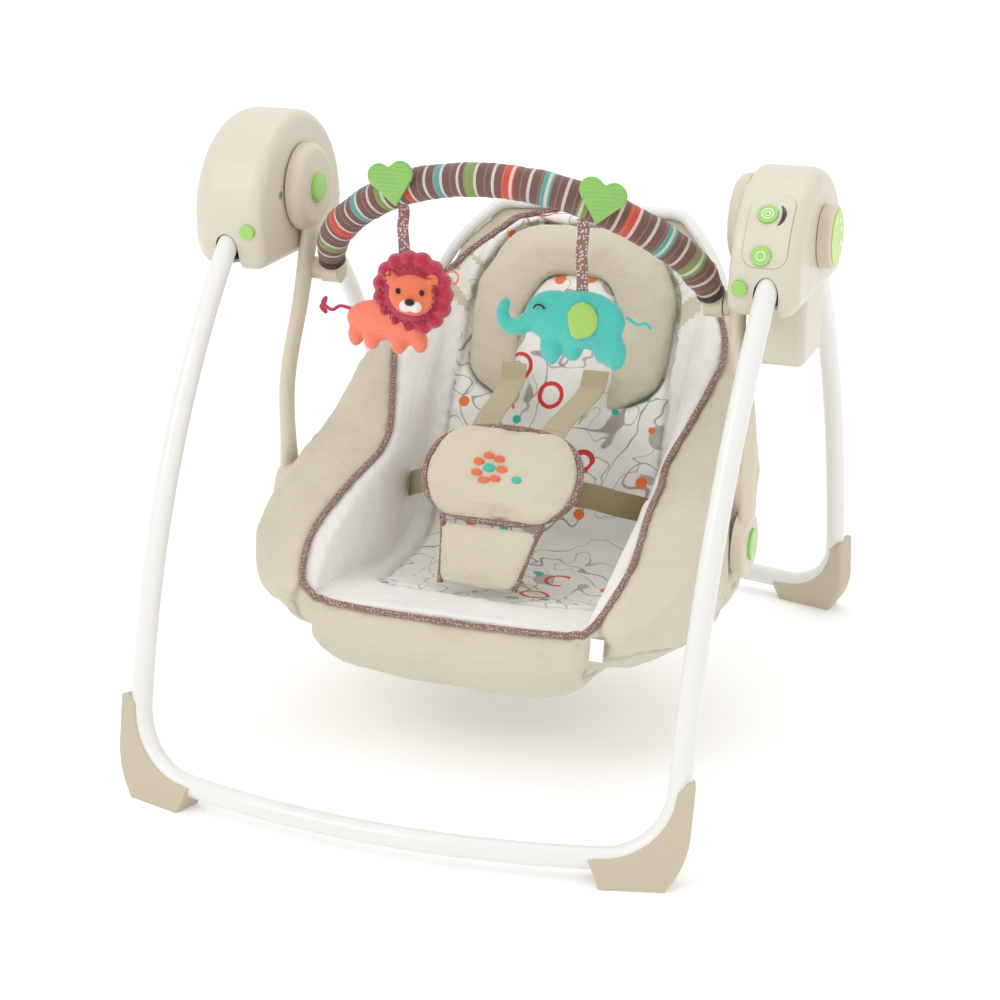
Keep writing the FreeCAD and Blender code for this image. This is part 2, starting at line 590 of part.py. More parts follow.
def build_arms():
    shafts, caps = [], []
    for side_name, side in SIDES:
        head_start = "dims.head_inner_x" if side > 0 else "-dims.head_outer_x"
        head = cylinder(f"{side_name}_head", "dims.head_radius", "dims.head_outer_x - dims.head_inner_x",
                        head_start, "0", "dims.hub_height")
        head = round_edges(f"{side_name}_head_round", head, 11.0,
                           lambda edge: abs(edge.BoundBox.Center.x) < 213 and edge.BoundBox.XLength < 0.1)
        pad_start = "dims.pad_inner_x" if side > 0 else "-dims.pad_outer_x"
        pad = cylinder(f"{side_name}_pad", "dims.pad_radius", "dims.pad_outer_x - dims.pad_inner_x",
                       pad_start, "dims.seat_pivot_y", "dims.seat_pivot_z")
        pad = round_edges(f"{side_name}_pad_round", pad, 4.0,
                          lambda edge: abs(edge.BoundBox.Center.x) > 240 and edge.BoundBox.XLength < 0.1)
        boss_start = "205" if side > 0 else "-216"
        boss = cylinder(f"{side_name}_bar_boss", "11", "11", boss_start, "dims.bar_pivot_y",
                        "dims.bar_pivot_z")
        arm = fuse(f"{side_name}_arm_blank", [head, feature(f"{side_name}_bar", arm_bar(side)), pad, boss])
        shaft_hole = cylinder(f"{side_name}_shaft_hole", "dims.shaft_radius", "16",
                              "213" if side > 0 else "-229", "0", "dims.hub_height")
        bar_hole = cylinder(f"{side_name}_bar_hole", "4 + dims.running_gap", "9",
                            "204" if side > 0 else "-213", "dims.bar_pivot_y", "dims.bar_pivot_z")
        pivot_hole = cylinder(f"{side_name}_pivot_hole", "5 + dims.running_gap", "20",
                              "225" if side > 0 else "-245", "dims.seat_pivot_y", "dims.seat_pivot_z")
        lock_hole = cylinder(f"{side_name}_lock_hole", "dims.lock_button_radius + 0.2", "8.4",
                             "236.6" if side > 0 else "-245", "dims.seat_pivot_y", "dims.seat_pivot_z")
        keep(cut(f"{side_name}_arm_cut", arm, shaft_hole, bar_hole, pivot_hole, lock_hole),
             f"{side_name}_swing_arm")
        shaft_start = "213" if side > 0 else "-262"
        shafts.append(cylinder(f"{side_name}_shaft", "dims.shaft_radius", "49", shaft_start, "0",
                               "dims.hub_height"))
        caps.append(disc_body(f"{side_name}_cap_body", "dims.cap_radius", "dims.cap_thickness", 2.0, -side,
                              f"{side} * dims.head_inner_x", "0", "dims.hub_height"))
        keep(disc_body(f"{side_name}_lock_body", "dims.lock_button_radius", "dims.lock_button_height + 3.6", 1.5,
                       side, f"{side} * (dims.pad_outer_x - 3.6)", "dims.seat_pivot_y", "dims.seat_pivot_z"),
             f"{side_name}_recline_button")
    keep(group("shafts", shafts), "hub_shafts")
    keep(group("caps", caps), "hub_caps")


# ---------------------------------------------------------------- seat

def seat_paths():
    """Front and rear loops of the seat frame tube."""
    x = size("seat_hub_inner_x") - 6
    y, z = size("seat_pivot_y"), size("seat_pivot_z")
    front = [Vector(x, y, z - 6), Vector(x - 3, -130, 162), Vector(166, -188, 143)]
    rear = [Vector(x, y + 8, z), Vector(194, 100, 232), Vector(150, 196, 410), Vector(100, 222, 458)]
    loops = []
    for points, trims in ((front, [25, 40]), (rear, [25, 40, 12])):
        flipped = [Vector(-point.x, point.y, point.z) for point in reversed(points)]
        loops.append(rounded_path(points + flipped, trims[:len(points) - 1] + trims[:len(points) - 1][::-1]))
    return loops


def ruled(sections):
    """Solid through flat sections, given as lists of points, with straight sides."""
    return Part.makeLoft([Part.makePolygon(points + points[:1]) for points in sections], True, True)


SIDE_STATIONS = (  # forwards, crest x, outer x, bottom, height of the crest, height of the outer edge
    (-208, 152, 174, 136, 176, 172), (-178, 158, 204, 124, 192, 198), (-150, 160, 218, 116, 202, 220),
    (-96, 158, 224, 108, 216, 244), (-55, 156, 224, 104, 226, 258), (0, 153, 224, 106, 236, 272),
    (55, 160, 222, 128, 276, 296), (90, 168, 220, 162, 308, 318), (140, 176, 206, 236, 374, 372),
    (196, 150, 172, 356, 436, 430))


def side_shape(side):
    """One padded side of the bucket seat."""
    sections = []
    for forward, crest, outer, bottom, crest_top, outer_top in SIDE_STATIONS:
        outline = ((140, bottom), (140, crest_top - 36), (crest - 10, crest_top), (crest + 6, crest_top),
                   (outer, outer_top), (outer, bottom + 34), (160, bottom))
        sections.append([Vector(side * x, forward, z) for x, z in outline])
    return ruled(sections)


def prism_along_x(half_width, outline):
    """Side view outline, extruded to both sides."""
    points = [Vector(-half_width, y, z) for y, z in outline]
    return Part.Face(Part.makePolygon(points + points[:1])).extrude(X_AXIS * (2 * half_width))


TOP_ARCH = ((240, 0), (240, 300), (190, 345), (168, 380), (138, 412), (98, 445), (50, 465), (0, 472))


def top_arch():
    """Everything under the rounded top of the seat back, seen from the front."""
    right = [Vector(x, -300, z) for x, z in TOP_ARCH]
    left = [Vector(-point.x, point.y, point.z) for point in reversed(right[:-1])]
    return Part.Face(Part.makePolygon(right + left + right[:1])).extrude(Y_AXIS * 600)


def back_frame():
    """Placement whose own X is sideways, Y up the seat back and Z out towards the child."""
    slope = size("back_angle")
    return Placement(Vector(0, 122, 270), Rotation(X_AXIS, slope))


def slab(points, thickness, placement):
    """Outline with rounded corners given as (x, y, corner radius), thickened along Z."""
    corners = [Vector(x, y, 0) for x, y, _ in points]
    radii = [radius for _, _, radius in points]
    count = len(corners)
    edges, ends = [], []
    for number in range(count):
        before, corner, after = corners[number - 1], corners[number], corners[(number + 1) % count]
        half = (before - corner).getAngle(after - corner) / 2
        start, end, arc = tangent_arc(before, corner, after, radii[number] / math.tan(half))
        edges.append(arc)
        ends.append((start, end))
    for number in range(count):
        edges.append(Part.LineSegment(ends[number][1], ends[(number + 1) % count][0]).toShape())
    wire = Part.Wire(Part.__sortEdges__(edges))
    solid = Part.Face(wire).extrude(Z_AXIS * thickness)
    solid.Placement = placement
    return solid


def build_seat():
    hubs = []
    for side_name, side in SIDES:
        start = "dims.seat_hub_inner_x" if side > 0 else "-(dims.seat_hub_inner_x + 12)"
        disc = cylinder(f"{side_name}_seat_disc", "dims.seat_hub_radius", "12", start,
                        "dims.seat_pivot_y", "dims.seat_pivot_z")
        pin = cylinder(f"{side_name}_seat_pin", "5", "11", "225" if side > 0 else "-236",
                       "dims.seat_pivot_y", "dims.seat_pivot_z")
        hub = fuse(f"{side_name}_seat_hub_blank", [disc, pin])
        hubs.append(hub)
    keep(group("seat_hub_pair", hubs), "seat_hubs")
    front_path, rear_path = seat_paths()
    front_tube = sweep(front_path, size("seat_tube_radius"))
    rear_tube = sweep(rear_path, size("seat_tube_radius"))
    document.recompute()
    hub_shape = hubs[0].Shape.fuse(hubs[1].Shape)
    keep(feature("seat_front_tube", front_tube.cut(hub_shape)), "seat_frame_front")
    keep(feature("seat_rear_tube", rear_tube.cut(hub_shape).cut(front_tube)), "seat_frame_rear")
    inside = hub_shape.fuse([front_tube, rear_tube])
    base = prism_along_x(139.6, [(-208, 154), (-221, 126), (-204, 98), (-140, 66), (-50, 50), (40, 58),
                                 (100, 104), (62, 142), (20, 126), (-60, 126), (-130, 142)])
    belly = Part.makeCylinder(188, 400, Vector(0, -260, 244), Y_AXIS)
    base = base.common(belly)
    back = prism_along_x(139.6, [(62.4, 142.6), (100.4, 104.6), (128, 150), (232, 372), (243, 462), (232, 474),
                                 (216, 468), (200, 430), (122, 270)])
    back = back.common(top_arch())
    board_angle = math.degrees(math.atan2(372 - 150, 232 - 128))
    keep(feature("base_pad", base.cut(inside)), "seat_cover_base")
    arch, opening, middle = headrest_shapes()
    keep(feature("back_pad", back.cut(inside).cut(arch.cut(opening)).cut(middle)), "seat_cover_back")
    sides = [feature(f"{side_name}_side_pad", side_shape(side).common(top_arch()).cut(inside))
             for side_name, side in SIDES]
    keep(group("side_pads", sides), "seat_cover_sides")
    board = block("back_board", "230", "235", "2.5", "-115", "131.5", "150", Rotation(X_AXIS, board_angle))
    keep(board, "seat_back_board")
    keep(feature("headrest_arch", arch.cut(opening)), "headrest")
    keep(feature("headrest_middle", middle), "headrest_panel")
    build_harness()


HEADREST_SUNK = 24.0


def headrest_shapes():
    """Padded arch, the opening in it and the panel that fills the opening, let into the back."""
    frame = back_frame()
    outer = [(-66, -2, 30), (-110, 26, 30), (-112, 124, 62), (-70, 188, 52), (70, 188, 52), (112, 124, 62),
             (110, 26, 30), (66, -2, 30)]
    inner = [(-58, -40, 4), (-58, 90, 24), (-34, 136, 30), (34, 136, 30), (58, 90, 24), (58, -40, 4)]
    panel = [(-56, 6, 20), (-56, 90, 23), (-33, 134, 29), (33, 134, 29), (56, 90, 23), (56, 6, 20)]
    sunk = frame.multiply(Placement(Vector(0, 0, -HEADREST_SUNK), Rotation()))
    lowest = frame.multiply(Placement(Vector(0, 0, -40), Rotation()))
    return slab(outer, 36, sunk), slab(inner, 90, lowest), slab(panel, 18, sunk)


def build_harness():
    pad_frame = Placement(Vector(0, -44, 242), Rotation(X_AXIS, 51.5))
    oval = [(-60, -46, 30), (-80, 0, 40), (-62, 50, 34), (62, 50, 34), (80, 0, 40), (60, -46, 30)]
    keep(feature("pad_oval", slab(oval, 16, pad_frame)), "crotch_pad")
    crotch = [(-38, -112, 6), (-50, -52, 8), (50, -52, 8), (38, -112, 6)]
    keep(feature("pad_crotch", slab(crotch, 12, pad_frame.multiply(Placement(Vector(0, 0, 1), Rotation())))),
         "crotch_strap")
    buckle = slab([(-24, -30, 8), (-24, 30, 8), (24, 30, 8), (24, -30, 8)], 11,
                  pad_frame.multiply(Placement(Vector(0, 0, -11.3), Rotation())))
    keep(feature("buckle_body", buckle), "harness_buckle")
    shoulder, waist = [], []
    for side_name, side in SIDES:
        top, low = Vector(side * 42, 98, 292), Vector(side * 34, -4, 288)
        shoulder.append(feature(f"{side_name}_shoulder", strap(top, low, Vector(1, 0, 0), 28, 2.4)))
        outer, inner = Vector(side * 136, 40, 196), Vector(side * 80, -38, 228)
        waist.append(feature(f"{side_name}_waist", strap(outer, inner, Vector(0, 0.35, 1), 24, 2.4)))
    keep(group("shoulders", shoulder), "shoulder_straps")
    keep(group("waists", waist), "waist_straps")


def strap(start, end, across, width, thickness):
    """Flat strap between two points; across is its width's direction."""
    along = end - start
    across = (across - along * (across.dot(along) / along.dot(along))).normalize()
    normal = along.cross(across).normalize()
    corner = start - across * width / 2
    outline = Part.makePolygon([corner, corner + across * width, corner + across * width + along,
                                corner + along, corner])
    return Part.Face(outline).extrude(normal * thickness)


# ---------------------------------------------------------------- toy bar and toys

def bar_path():
    """Three-centred arch in the bar's leaning plane: end arcs and one top arc."""
    half, end_radius = size("bar_half_width"), 95.0
    rise = math.hypot(size("bar_rise"), size("bar_lean"))
    top_radius = ((half - end_radius) ** 2 + rise ** 2 - end_radius ** 2) / (2 * (rise - end_radius))
    spring = Vector(half - end_radius, 0, 0)
    crown = Vector(0, rise - top_radius, 0)
    joint = crown + (spring - crown).normalize() * top_radius
    middle_angle = math.atan2(joint.y, joint.x - spring.x) / 2
    right = Part.Arc(Vector(half, 0, 0), spring + Vector(math.cos(middle_angle), math.sin(middle_angle), 0)
                     * end_radius, joint).toShape()
    top = Part.Arc(joint, Vector(0, rise, 0), Vector(-joint.x, joint.y, 0)).toShape()
    wire = Part.Wire([right, top, mirrored(right)])
    lean = math.degrees(math.atan2(size("bar_rise"), -size("bar_lean")))
    wire.Placement = Placement(Vector(0, size("bar_pivot_y"), size("bar_pivot_z")), Rotation(X_AXIS, lean))
    return wire


def build_toy_bar():
    path = bar_path()
    core = sweep(path, size("bar_radius"))
    ends = []
    for side_name, side in SIDES:
        hub = cylinder(f"{side_name}_bar_hub", "13", "18", "186" if side > 0 else "-204",
                       "dims.bar_pivot_y", "dims.bar_pivot_z")
        pin = cylinder(f"{side_name}_bar_pin", "4", "9", "203.5" if side > 0 else "-212.5",
                       "dims.bar_pivot_y", "dims.bar_pivot_z")
        ends.append(fuse(f"{side_name}_bar_end_blank", [hub, pin]))
    keep(group("bar_ends", ends), "toy_bar_ends")
    document.recompute()
    end_shapes = ends[0].Shape.fuse(ends[1].Shape)
    core = core.cut(end_shapes)
    keep(feature("bar_core", core), "toy_bar_core")
    lean = math.degrees(math.atan2(size("bar_rise"), -size("bar_lean")))
    sleeve = sweep(path, size("sleeve_radius")).cut(sweep(path, size("bar_radius")))
    ring = Part.makeBox(500, 80, 30)
    ring.Placement = Placement(Vector(0, size("bar_pivot_y"), size("bar_pivot_z")), Rotation(X_AXIS, lean - 90)
                               ).multiply(Placement(Vector(-250, -40, -16), Rotation()))
    keep(feature("bar_sleeve", sleeve.cut(ring)), "toy_bar_sleeve")


def heart(name, x, y, z, tilt):
    """Flat felt heart of two lobes and a point, standing beside the sleeve."""
    lobes = [Part.makeCylinder(12.0, 4, Vector(side * 10.8, 0, 30), Y_AXIS) for _, side in SIDES]
    tip = [Vector(-21.8, 0, 25.0), Vector(0, 0, 0), Vector(21.8, 0, 25.0), Vector(0, 0, 38.0)]
    point = Part.Face(Part.makePolygon(tip + tip[:1])).extrude(Y_AXIS * 4)
    whole = lobes[0].fuse([lobes[1], point]).removeSplitter()
    whole.Placement = Placement(Vector(x, y, z), Rotation(Y_AXIS, tilt))
    return feature(name, whole)


def oval_prism(name, x, y, z, half_width, half_height, depth):
    """Upright oval facing forwards, of even depth."""
    centre = Vector(x, y - depth / 2, z)
    oval = Part.Ellipse(centre + X_AXIS * half_width, centre + Z_AXIS * half_height, centre)
    return feature(name, Part.Face(Part.Wire(oval.toShape())).extrude(Y_AXIS * depth))


def build_toys():
    """Two hanging soft toys, plain solids of their true size, each on its ribbon."""
    hearts = [heart("left_heart", -88, -96.8, 515, -10), heart("right_heart", 105, -92.8, 512, 12)]
    keep(group("hearts", hearts), "toy_hearts")
    forward = -78.0
    lion_x, elephant_x = -82.0, 82.0
    mane = cylinder("mane", "40", "24", str(lion_x), str(forward - 12), "430", Y_AXIS)
    torso = oval_prism("lion_torso", lion_x - 34, forward, 398, 40, 22, 22)
    keep(fuse("lion_whole", [mane, torso]), "lion_toy")
    body = oval_prism("elephant_body", elephant_x + 2, forward, 418, 48, 31, 24)
    trunk = block("elephant_trunk", "34", "16", "26", str(elephant_x - 76), str(forward - 8), "404")
    legs = [block(f"elephant_leg_{number}", "26", "18", "34", str(elephant_x + offset), str(forward - 9), "372")
            for number, offset in enumerate((-28, 16))]
    keep(fuse("elephant_whole", [body, trunk, *legs]), "elephant_toy")
    for name, x, low, high in (("lion", lion_x - 6, 470.5, 503), ("elephant", elephant_x + 6, 449.5, 503)):
        keep(block(f"{name}_ribbon_strip", "11", "2", str(high - low), str(x - 5.5), str(forward - 1), str(low)),
             f"{name}_ribbon")


def build():
    build_frames()
    build_left_casing()
    build_right_casing()
    build_pins_and_bushes()
    build_drive()
    build_controls()
    build_arms()
    build_seat()
    build_toy_bar()
    build_toys()


build()
document.recompute()
failed = [entry.Name for entry in document.Objects if {"Invalid", "Error"} & set(entry.State)]
failed += [entry.Label for entry in subparts if entry.Shape.isNull() or not entry.Shape.isValid()]
if failed:
    raise SystemExit(f"failed objects: {failed}")
os.makedirs("parts", exist_ok=True)
for entry in subparts:
    entry.Shape.exportStep(f"parts/{entry.Label}.step")
print(len(subparts), "sub-parts written")
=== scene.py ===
"""Looks of a folding baby swing: stuffed seat, harness, sleeved toy bar, soft toys, plastics and paint."""

import json
import math

import bmesh
import bpy
from mathutils import Matrix, Vector, kdtree, noise
from mathutils.bvhtree import BVHTree


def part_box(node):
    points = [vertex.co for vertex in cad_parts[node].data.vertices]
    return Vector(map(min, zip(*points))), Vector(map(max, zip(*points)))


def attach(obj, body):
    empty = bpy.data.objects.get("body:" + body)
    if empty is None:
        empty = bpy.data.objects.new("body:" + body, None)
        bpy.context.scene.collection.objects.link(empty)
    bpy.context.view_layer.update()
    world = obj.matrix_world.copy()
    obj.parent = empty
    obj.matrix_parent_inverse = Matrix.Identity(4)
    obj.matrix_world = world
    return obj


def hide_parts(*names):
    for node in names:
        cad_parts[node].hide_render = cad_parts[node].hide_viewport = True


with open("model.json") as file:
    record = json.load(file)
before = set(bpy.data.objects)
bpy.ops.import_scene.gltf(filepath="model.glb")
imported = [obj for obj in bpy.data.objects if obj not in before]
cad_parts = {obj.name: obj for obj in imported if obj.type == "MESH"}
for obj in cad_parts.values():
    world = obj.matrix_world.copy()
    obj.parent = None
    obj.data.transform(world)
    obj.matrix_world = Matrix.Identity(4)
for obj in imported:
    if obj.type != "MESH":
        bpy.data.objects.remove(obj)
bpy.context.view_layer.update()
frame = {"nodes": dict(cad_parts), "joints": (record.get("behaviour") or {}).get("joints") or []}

MM = 0.001
SIDES = (-1, 1)
WORDS = {-1: "left", 1: "right"}
PAD_TILT = math.radians(51.5)      # harness pad, from lying flat
BAR_HALF = 193.0                   # toy bar, half the distance between its ends
BAR_END_ARC = 95.0
BAR_LEAN = Vector((0, -76.0, 116.0))
SLEEVE_RADIUS = 16.2
PIPING_RADIUS = 3.1
PAD_BINDING_RADIUS = 3.2
CROTCH_BINDING_RADIUS = 3.0
ZONE_REACH = 45.0                  # piping this near decides between the inside and the outside of the seat
OPEN_HALF_WIDTH = 138.0            # further from the piping, nothing wider than this is inside
MIDDLE_HALF_WIDTH = 117.0          # printed middle of the seat
MIDDLE_FRONT = -117.0
MIDDLE_TOP = 462.0
PRESS_ANGLES = {"music_button": 44, "volume_button": 21}   # upwards from straight forwards


def mm(x, y, z):
    return Vector((x, y, z)) * MM


# ------------------------------------------------------------ material parts

def dye(red, green, blue):
    """Colour of a swatch, 0 to 255 in each channel, made linear."""
    swatch = [channel / 255 for channel in (red, green, blue)]
    linear = [((c + 0.055) / 1.055) ** 2.4 if c > 0.04 else c / 12.92 for c in swatch]
    return (*linear, 1.0)


def add(tree, kind, sockets=None, **settings):
    """One node with its settings, and its sockets linked or filled in."""
    node = tree.nodes.new(kind)
    for name, value in settings.items():
        setattr(node, name, value)
    for name, value in (sockets or {}).items():
        if isinstance(value, bpy.types.NodeSocket):
            tree.links.new(value, node.inputs[name])
        else:
            node.inputs[name].default_value = value
    return node


def maths(tree, operation, first, second=0.0):
    return add(tree, "ShaderNodeMath", {0: first, 1: second}, operation=operation).outputs[0]


def mixed(tree, factor, first, second, mode="MIX"):
    return add(tree, "ShaderNodeMix", {0: factor, 6: first, 7: second}, data_type="RGBA",
               blend_type=mode).outputs[2]


def ramp(tree, value, low, high, to_low=0.0, to_high=1.0):
    sockets = {"Value": value, "From Min": low, "From Max": high, "To Min": to_low, "To Max": to_high}
    return add(tree, "ShaderNodeMapRange", sockets).outputs[0]


def new_group(name, inputs, outputs):
    tree = bpy.data.node_groups.new(name, "ShaderNodeTree")
    for label, kind, value in inputs:
        socket = tree.interface.new_socket(label, in_out="INPUT", socket_type=kind)
        if value is not None:
            socket.default_value = value
    for label, kind in outputs:
        tree.interface.new_socket(label, in_out="OUTPUT", socket_type=kind)
    return tree, tree.nodes.new("NodeGroupInput"), tree.nodes.new("NodeGroupOutput")


def make_weave():
    """Two crossing yarn directions with slubs; Height for the bump, Shade for the gaps."""
    tree, given, result = new_group(
        "woven_yarn", [("Vector", "NodeSocketVector", None), ("Scale", "NodeSocketFloat", 300.0)],
        [("Height", "NodeSocketFloat"), ("Shade", "NodeSocketFloat")])
    waves = []
    for turn in (0.0, math.pi / 2):
        place = add(tree, "ShaderNodeMapping", {"Vector": given.outputs["Vector"],
                                                "Rotation": (turn, 0.3, turn)})
        waves.append(add(tree, "ShaderNodeTexWave", {
            "Vector": place.outputs[0], "Scale": given.outputs["Scale"], "Distortion": 0.6, "Detail": 1.0},
            bands_direction="DIAGONAL").outputs["Fac"])
    fuzz = add(tree, "ShaderNodeTexNoise", {"Vector": given.outputs["Vector"], "Scale": 420.0, "Detail": 3.0})
    yarns = maths(tree, "MULTIPLY", waves[0], waves[1])
    height = maths(tree, "ADD", yarns, maths(tree, "MULTIPLY", fuzz.outputs[0], 0.8))
    tree.links.new(height, result.inputs["Height"])
    tree.links.new(ramp(tree, height, 0.2, 1.1, 0.86, 1.03), result.inputs["Shade"])
    return tree


def make_drift():
    """Slow unevenness of a colour, as in dyed cloth or moulded plastic."""
    tree, given, result = new_group(
        "colour_drift", [("Vector", "NodeSocketVector", None), ("Colour", "NodeSocketColor", (1, 1, 1, 1)),
                         ("Scale", "NodeSocketFloat", 14.0), ("Amount", "NodeSocketFloat", 0.08)],
        [("Colour", "NodeSocketColor")])
    cloud = add(tree, "ShaderNodeTexNoise", {"Vector": given.outputs["Vector"],
                                             "Scale": given.outputs["Scale"],
                                             "Detail": 4.0})
    swing = maths(tree, "MULTIPLY", maths(tree, "SUBTRACT", cloud.outputs[0], 0.5), given.outputs["Amount"])
    value = maths(tree, "ADD", 1.0, maths(tree, "MULTIPLY", swing, 2.0))
    tint = add(tree, "ShaderNodeHueSaturation", {"Color": given.outputs["Colour"], "Value": value})
    tree.links.new(tint.outputs[0], result.inputs["Colour"])
    return tree


def make_grain():
    """Fine spark texture of moulded plastic, with a few shallow scuffs."""
    tree, given, result = new_group(
        "moulded_grain", [("Vector", "NodeSocketVector", None), ("Scale", "NodeSocketFloat", 1400.0)],
        [("Height", "NodeSocketFloat"), ("Scuff", "NodeSocketFloat")])
    grit = add(tree, "ShaderNodeTexNoise", {"Vector": given.outputs["Vector"],
                                            "Scale": given.outputs["Scale"],
                                            "Detail": 2.0})
    stretch = add(tree, "ShaderNodeMapping", {"Vector": given.outputs["Vector"], "Scale": (1.0, 0.25, 1.0)})
    scuff = add(tree, "ShaderNodeTexNoise", {"Vector": stretch.outputs[0], "Scale": 60.0, "Detail": 6.0})
    tree.links.new(grit.outputs[0], result.inputs["Height"])
    tree.links.new(ramp(tree, scuff.outputs[0], 0.6, 0.75), result.inputs["Scuff"])
    return tree


def make_print():
    """Doodled nursery print: loose outlines, ovals, dots and rings."""
    tree, given, result = new_group(
        "doodle_print", [("Vector", "NodeSocketVector", None), ("Ground", "NodeSocketColor", (1, 1, 1, 1))],
        [("Colour", "NodeSocketColor")])
    colour = given.outputs["Ground"]
    for shift, scale, line in ((0.0, 17.0, dye(150, 140, 130)), (3.7, 24.0, dye(172, 162, 152))):
        place = add(tree, "ShaderNodeMapping", {"Vector": given.outputs["Vector"],
                                                "Location": (shift, shift, 0)})
        cloud = add(tree, "ShaderNodeTexNoise", {"Vector": place.outputs[0], "Scale": scale, "Detail": 1.0,
                                                 "Distortion": 0.6})
        away = maths(tree, "ABSOLUTE", maths(tree, "SUBTRACT", cloud.outputs[0], 0.5))
        colour = mixed(tree, ramp(tree, away, 0.006, 0.012, 0.8, 0.0), colour, line)
    spots = ((24.0, 0.0, 0.32, 0.60, dye(188, 184, 178)), (30.0, 0.0, 0.22, 0.70, dye(70, 185, 175)),
             (34.0, 0.0, 0.22, 0.74, dye(240, 125, 70)), (21.0, 0.25, 0.33, 0.66, dye(214, 66, 60)))
    for number, (scale, inner, outer, chance, paint) in enumerate(spots):
        place = add(tree, "ShaderNodeMapping", {"Vector": given.outputs["Vector"],
                                                "Location": (number * 1.3, number * 2.1, 0)})
        cell = add(tree, "ShaderNodeTexVoronoi", {"Vector": place.outputs[0], "Scale": scale})
        pick = add(tree, "ShaderNodeSeparateColor", {"Color": cell.outputs["Color"]}).outputs[0]
        near = maths(tree, "LESS_THAN", cell.outputs["Distance"], outer)
        far = maths(tree, "GREATER_THAN", cell.outputs["Distance"], inner - 0.001)
        chosen = maths(tree, "GREATER_THAN", pick, chance)
        mask = maths(tree, "MULTIPLY", maths(tree, "MULTIPLY", near, far), chosen)
        colour = mixed(tree, mask, colour, paint)
    tree.links.new(colour, result.inputs["Colour"])
    return tree


WEAVE, DRIFT, GRAIN, PRINT = make_weave(), make_drift(), make_grain(), make_print()


def new_material(name):
    """Material with its shader, and the object's own coordinates."""
    material = bpy.data.materials.new(name)
    material.use_nodes = True
    tree = material.node_tree
    shader = next(node for node in tree.nodes if node.type == "BSDF_PRINCIPLED")
    place = tree.nodes.new("ShaderNodeTexCoord").outputs["Object"]
    return material, tree, shader, place


def fill(tree, group, sockets):
    """A shared effect placed in a material with its own values."""
    return add(tree, "ShaderNodeGroup", sockets, node_tree=group)


def cloth(name, colour, yarn=260.0, depth=0.5, sheen=0.25, drift=0.10, pattern=None):
    """Woven or knitted fabric; pattern(tree, place, colour) may lay a print over the ground colour."""
    material, tree, shader, place = new_material(name)
    shader.inputs["Sheen Weight"].default_value = sheen
    shader.inputs["Sheen Roughness"].default_value = 0.5
    shader.inputs["Specular IOR Level"].default_value = 0.2
    ground = pattern(tree, place, colour) if pattern else colour
    ground = fill(tree, DRIFT, {"Vector": place, "Colour": ground, "Amount": drift}).outputs[0]
    weave = fill(tree, WEAVE, {"Vector": place, "Scale": yarn})
    ground = mixed(tree, 1.0, ground, weave.outputs["Shade"], "MULTIPLY")
    # painted shade: sewn creases darkened towards brown, in place of the shade that falls in them
    seam_shade = add(tree, "ShaderNodeAttribute", None, attribute_name="seam_shade").outputs["Fac"]
    ground = mixed(tree, maths(tree, "MULTIPLY", seam_shade, 0.45), ground, dye(90, 75, 65))
    tree.links.new(ground, shader.inputs["Base Color"])
    tree.links.new(ramp(tree, weave.outputs["Height"], 0.0, 1.6, 0.96, 0.8), shader.inputs["Roughness"])
    bump = add(tree, "ShaderNodeBump", {"Strength": depth, "Distance": 0.0006,
                                        "Height": weave.outputs["Height"]})
    tree.links.new(bump.outputs[0], shader.inputs["Normal"])
    return material


def plastic(name, colour, rough=0.42, coat=0.0, drift=0.03, grain=0.12):
    material, tree, shader, place = new_material(name)
    shader.inputs["Coat Weight"].default_value = coat
    shader.inputs["Coat Roughness"].default_value = 0.15
    ground = fill(tree, DRIFT, {"Vector": place, "Colour": colour, "Scale": 8.0, "Amount": drift}).outputs[0]
    surface = fill(tree, GRAIN, {"Vector": place})
    tree.links.new(ground, shader.inputs["Base Color"])
    tree.links.new(ramp(tree, surface.outputs["Scuff"], 0.0, 1.0, rough, rough + 0.12),
                   shader.inputs["Roughness"])
    bump = add(tree, "ShaderNodeBump", {"Strength": grain, "Distance": 0.0003,
                                        "Height": surface.outputs["Height"]})
    tree.links.new(bump.outputs[0], shader.inputs["Normal"])
    return material


def metal(name, colour, rough=0.3):
    material = plastic(name, colour, rough, grain=0.05)
    shader = next(node for node in material.node_tree.nodes if node.type == "BSDF_PRINCIPLED")
    shader.inputs["Metallic"].default_value = 1.0
    return material


def printed(tree, place, colour):
    return fill(tree, PRINT, {"Vector": place, "Ground": colour}).outputs[0]


def dotted(light, scale):
    """Small light dots scattered over the ground colour."""
    def lay(tree, place, colour):
        cell = add(tree, "ShaderNodeTexVoronoi", {"Vector": place, "Scale": scale, "Randomness": 0.6})
        return mixed(tree, maths(tree, "LESS_THAN", cell.outputs["Distance"], 0.33), colour, light)
    return lay


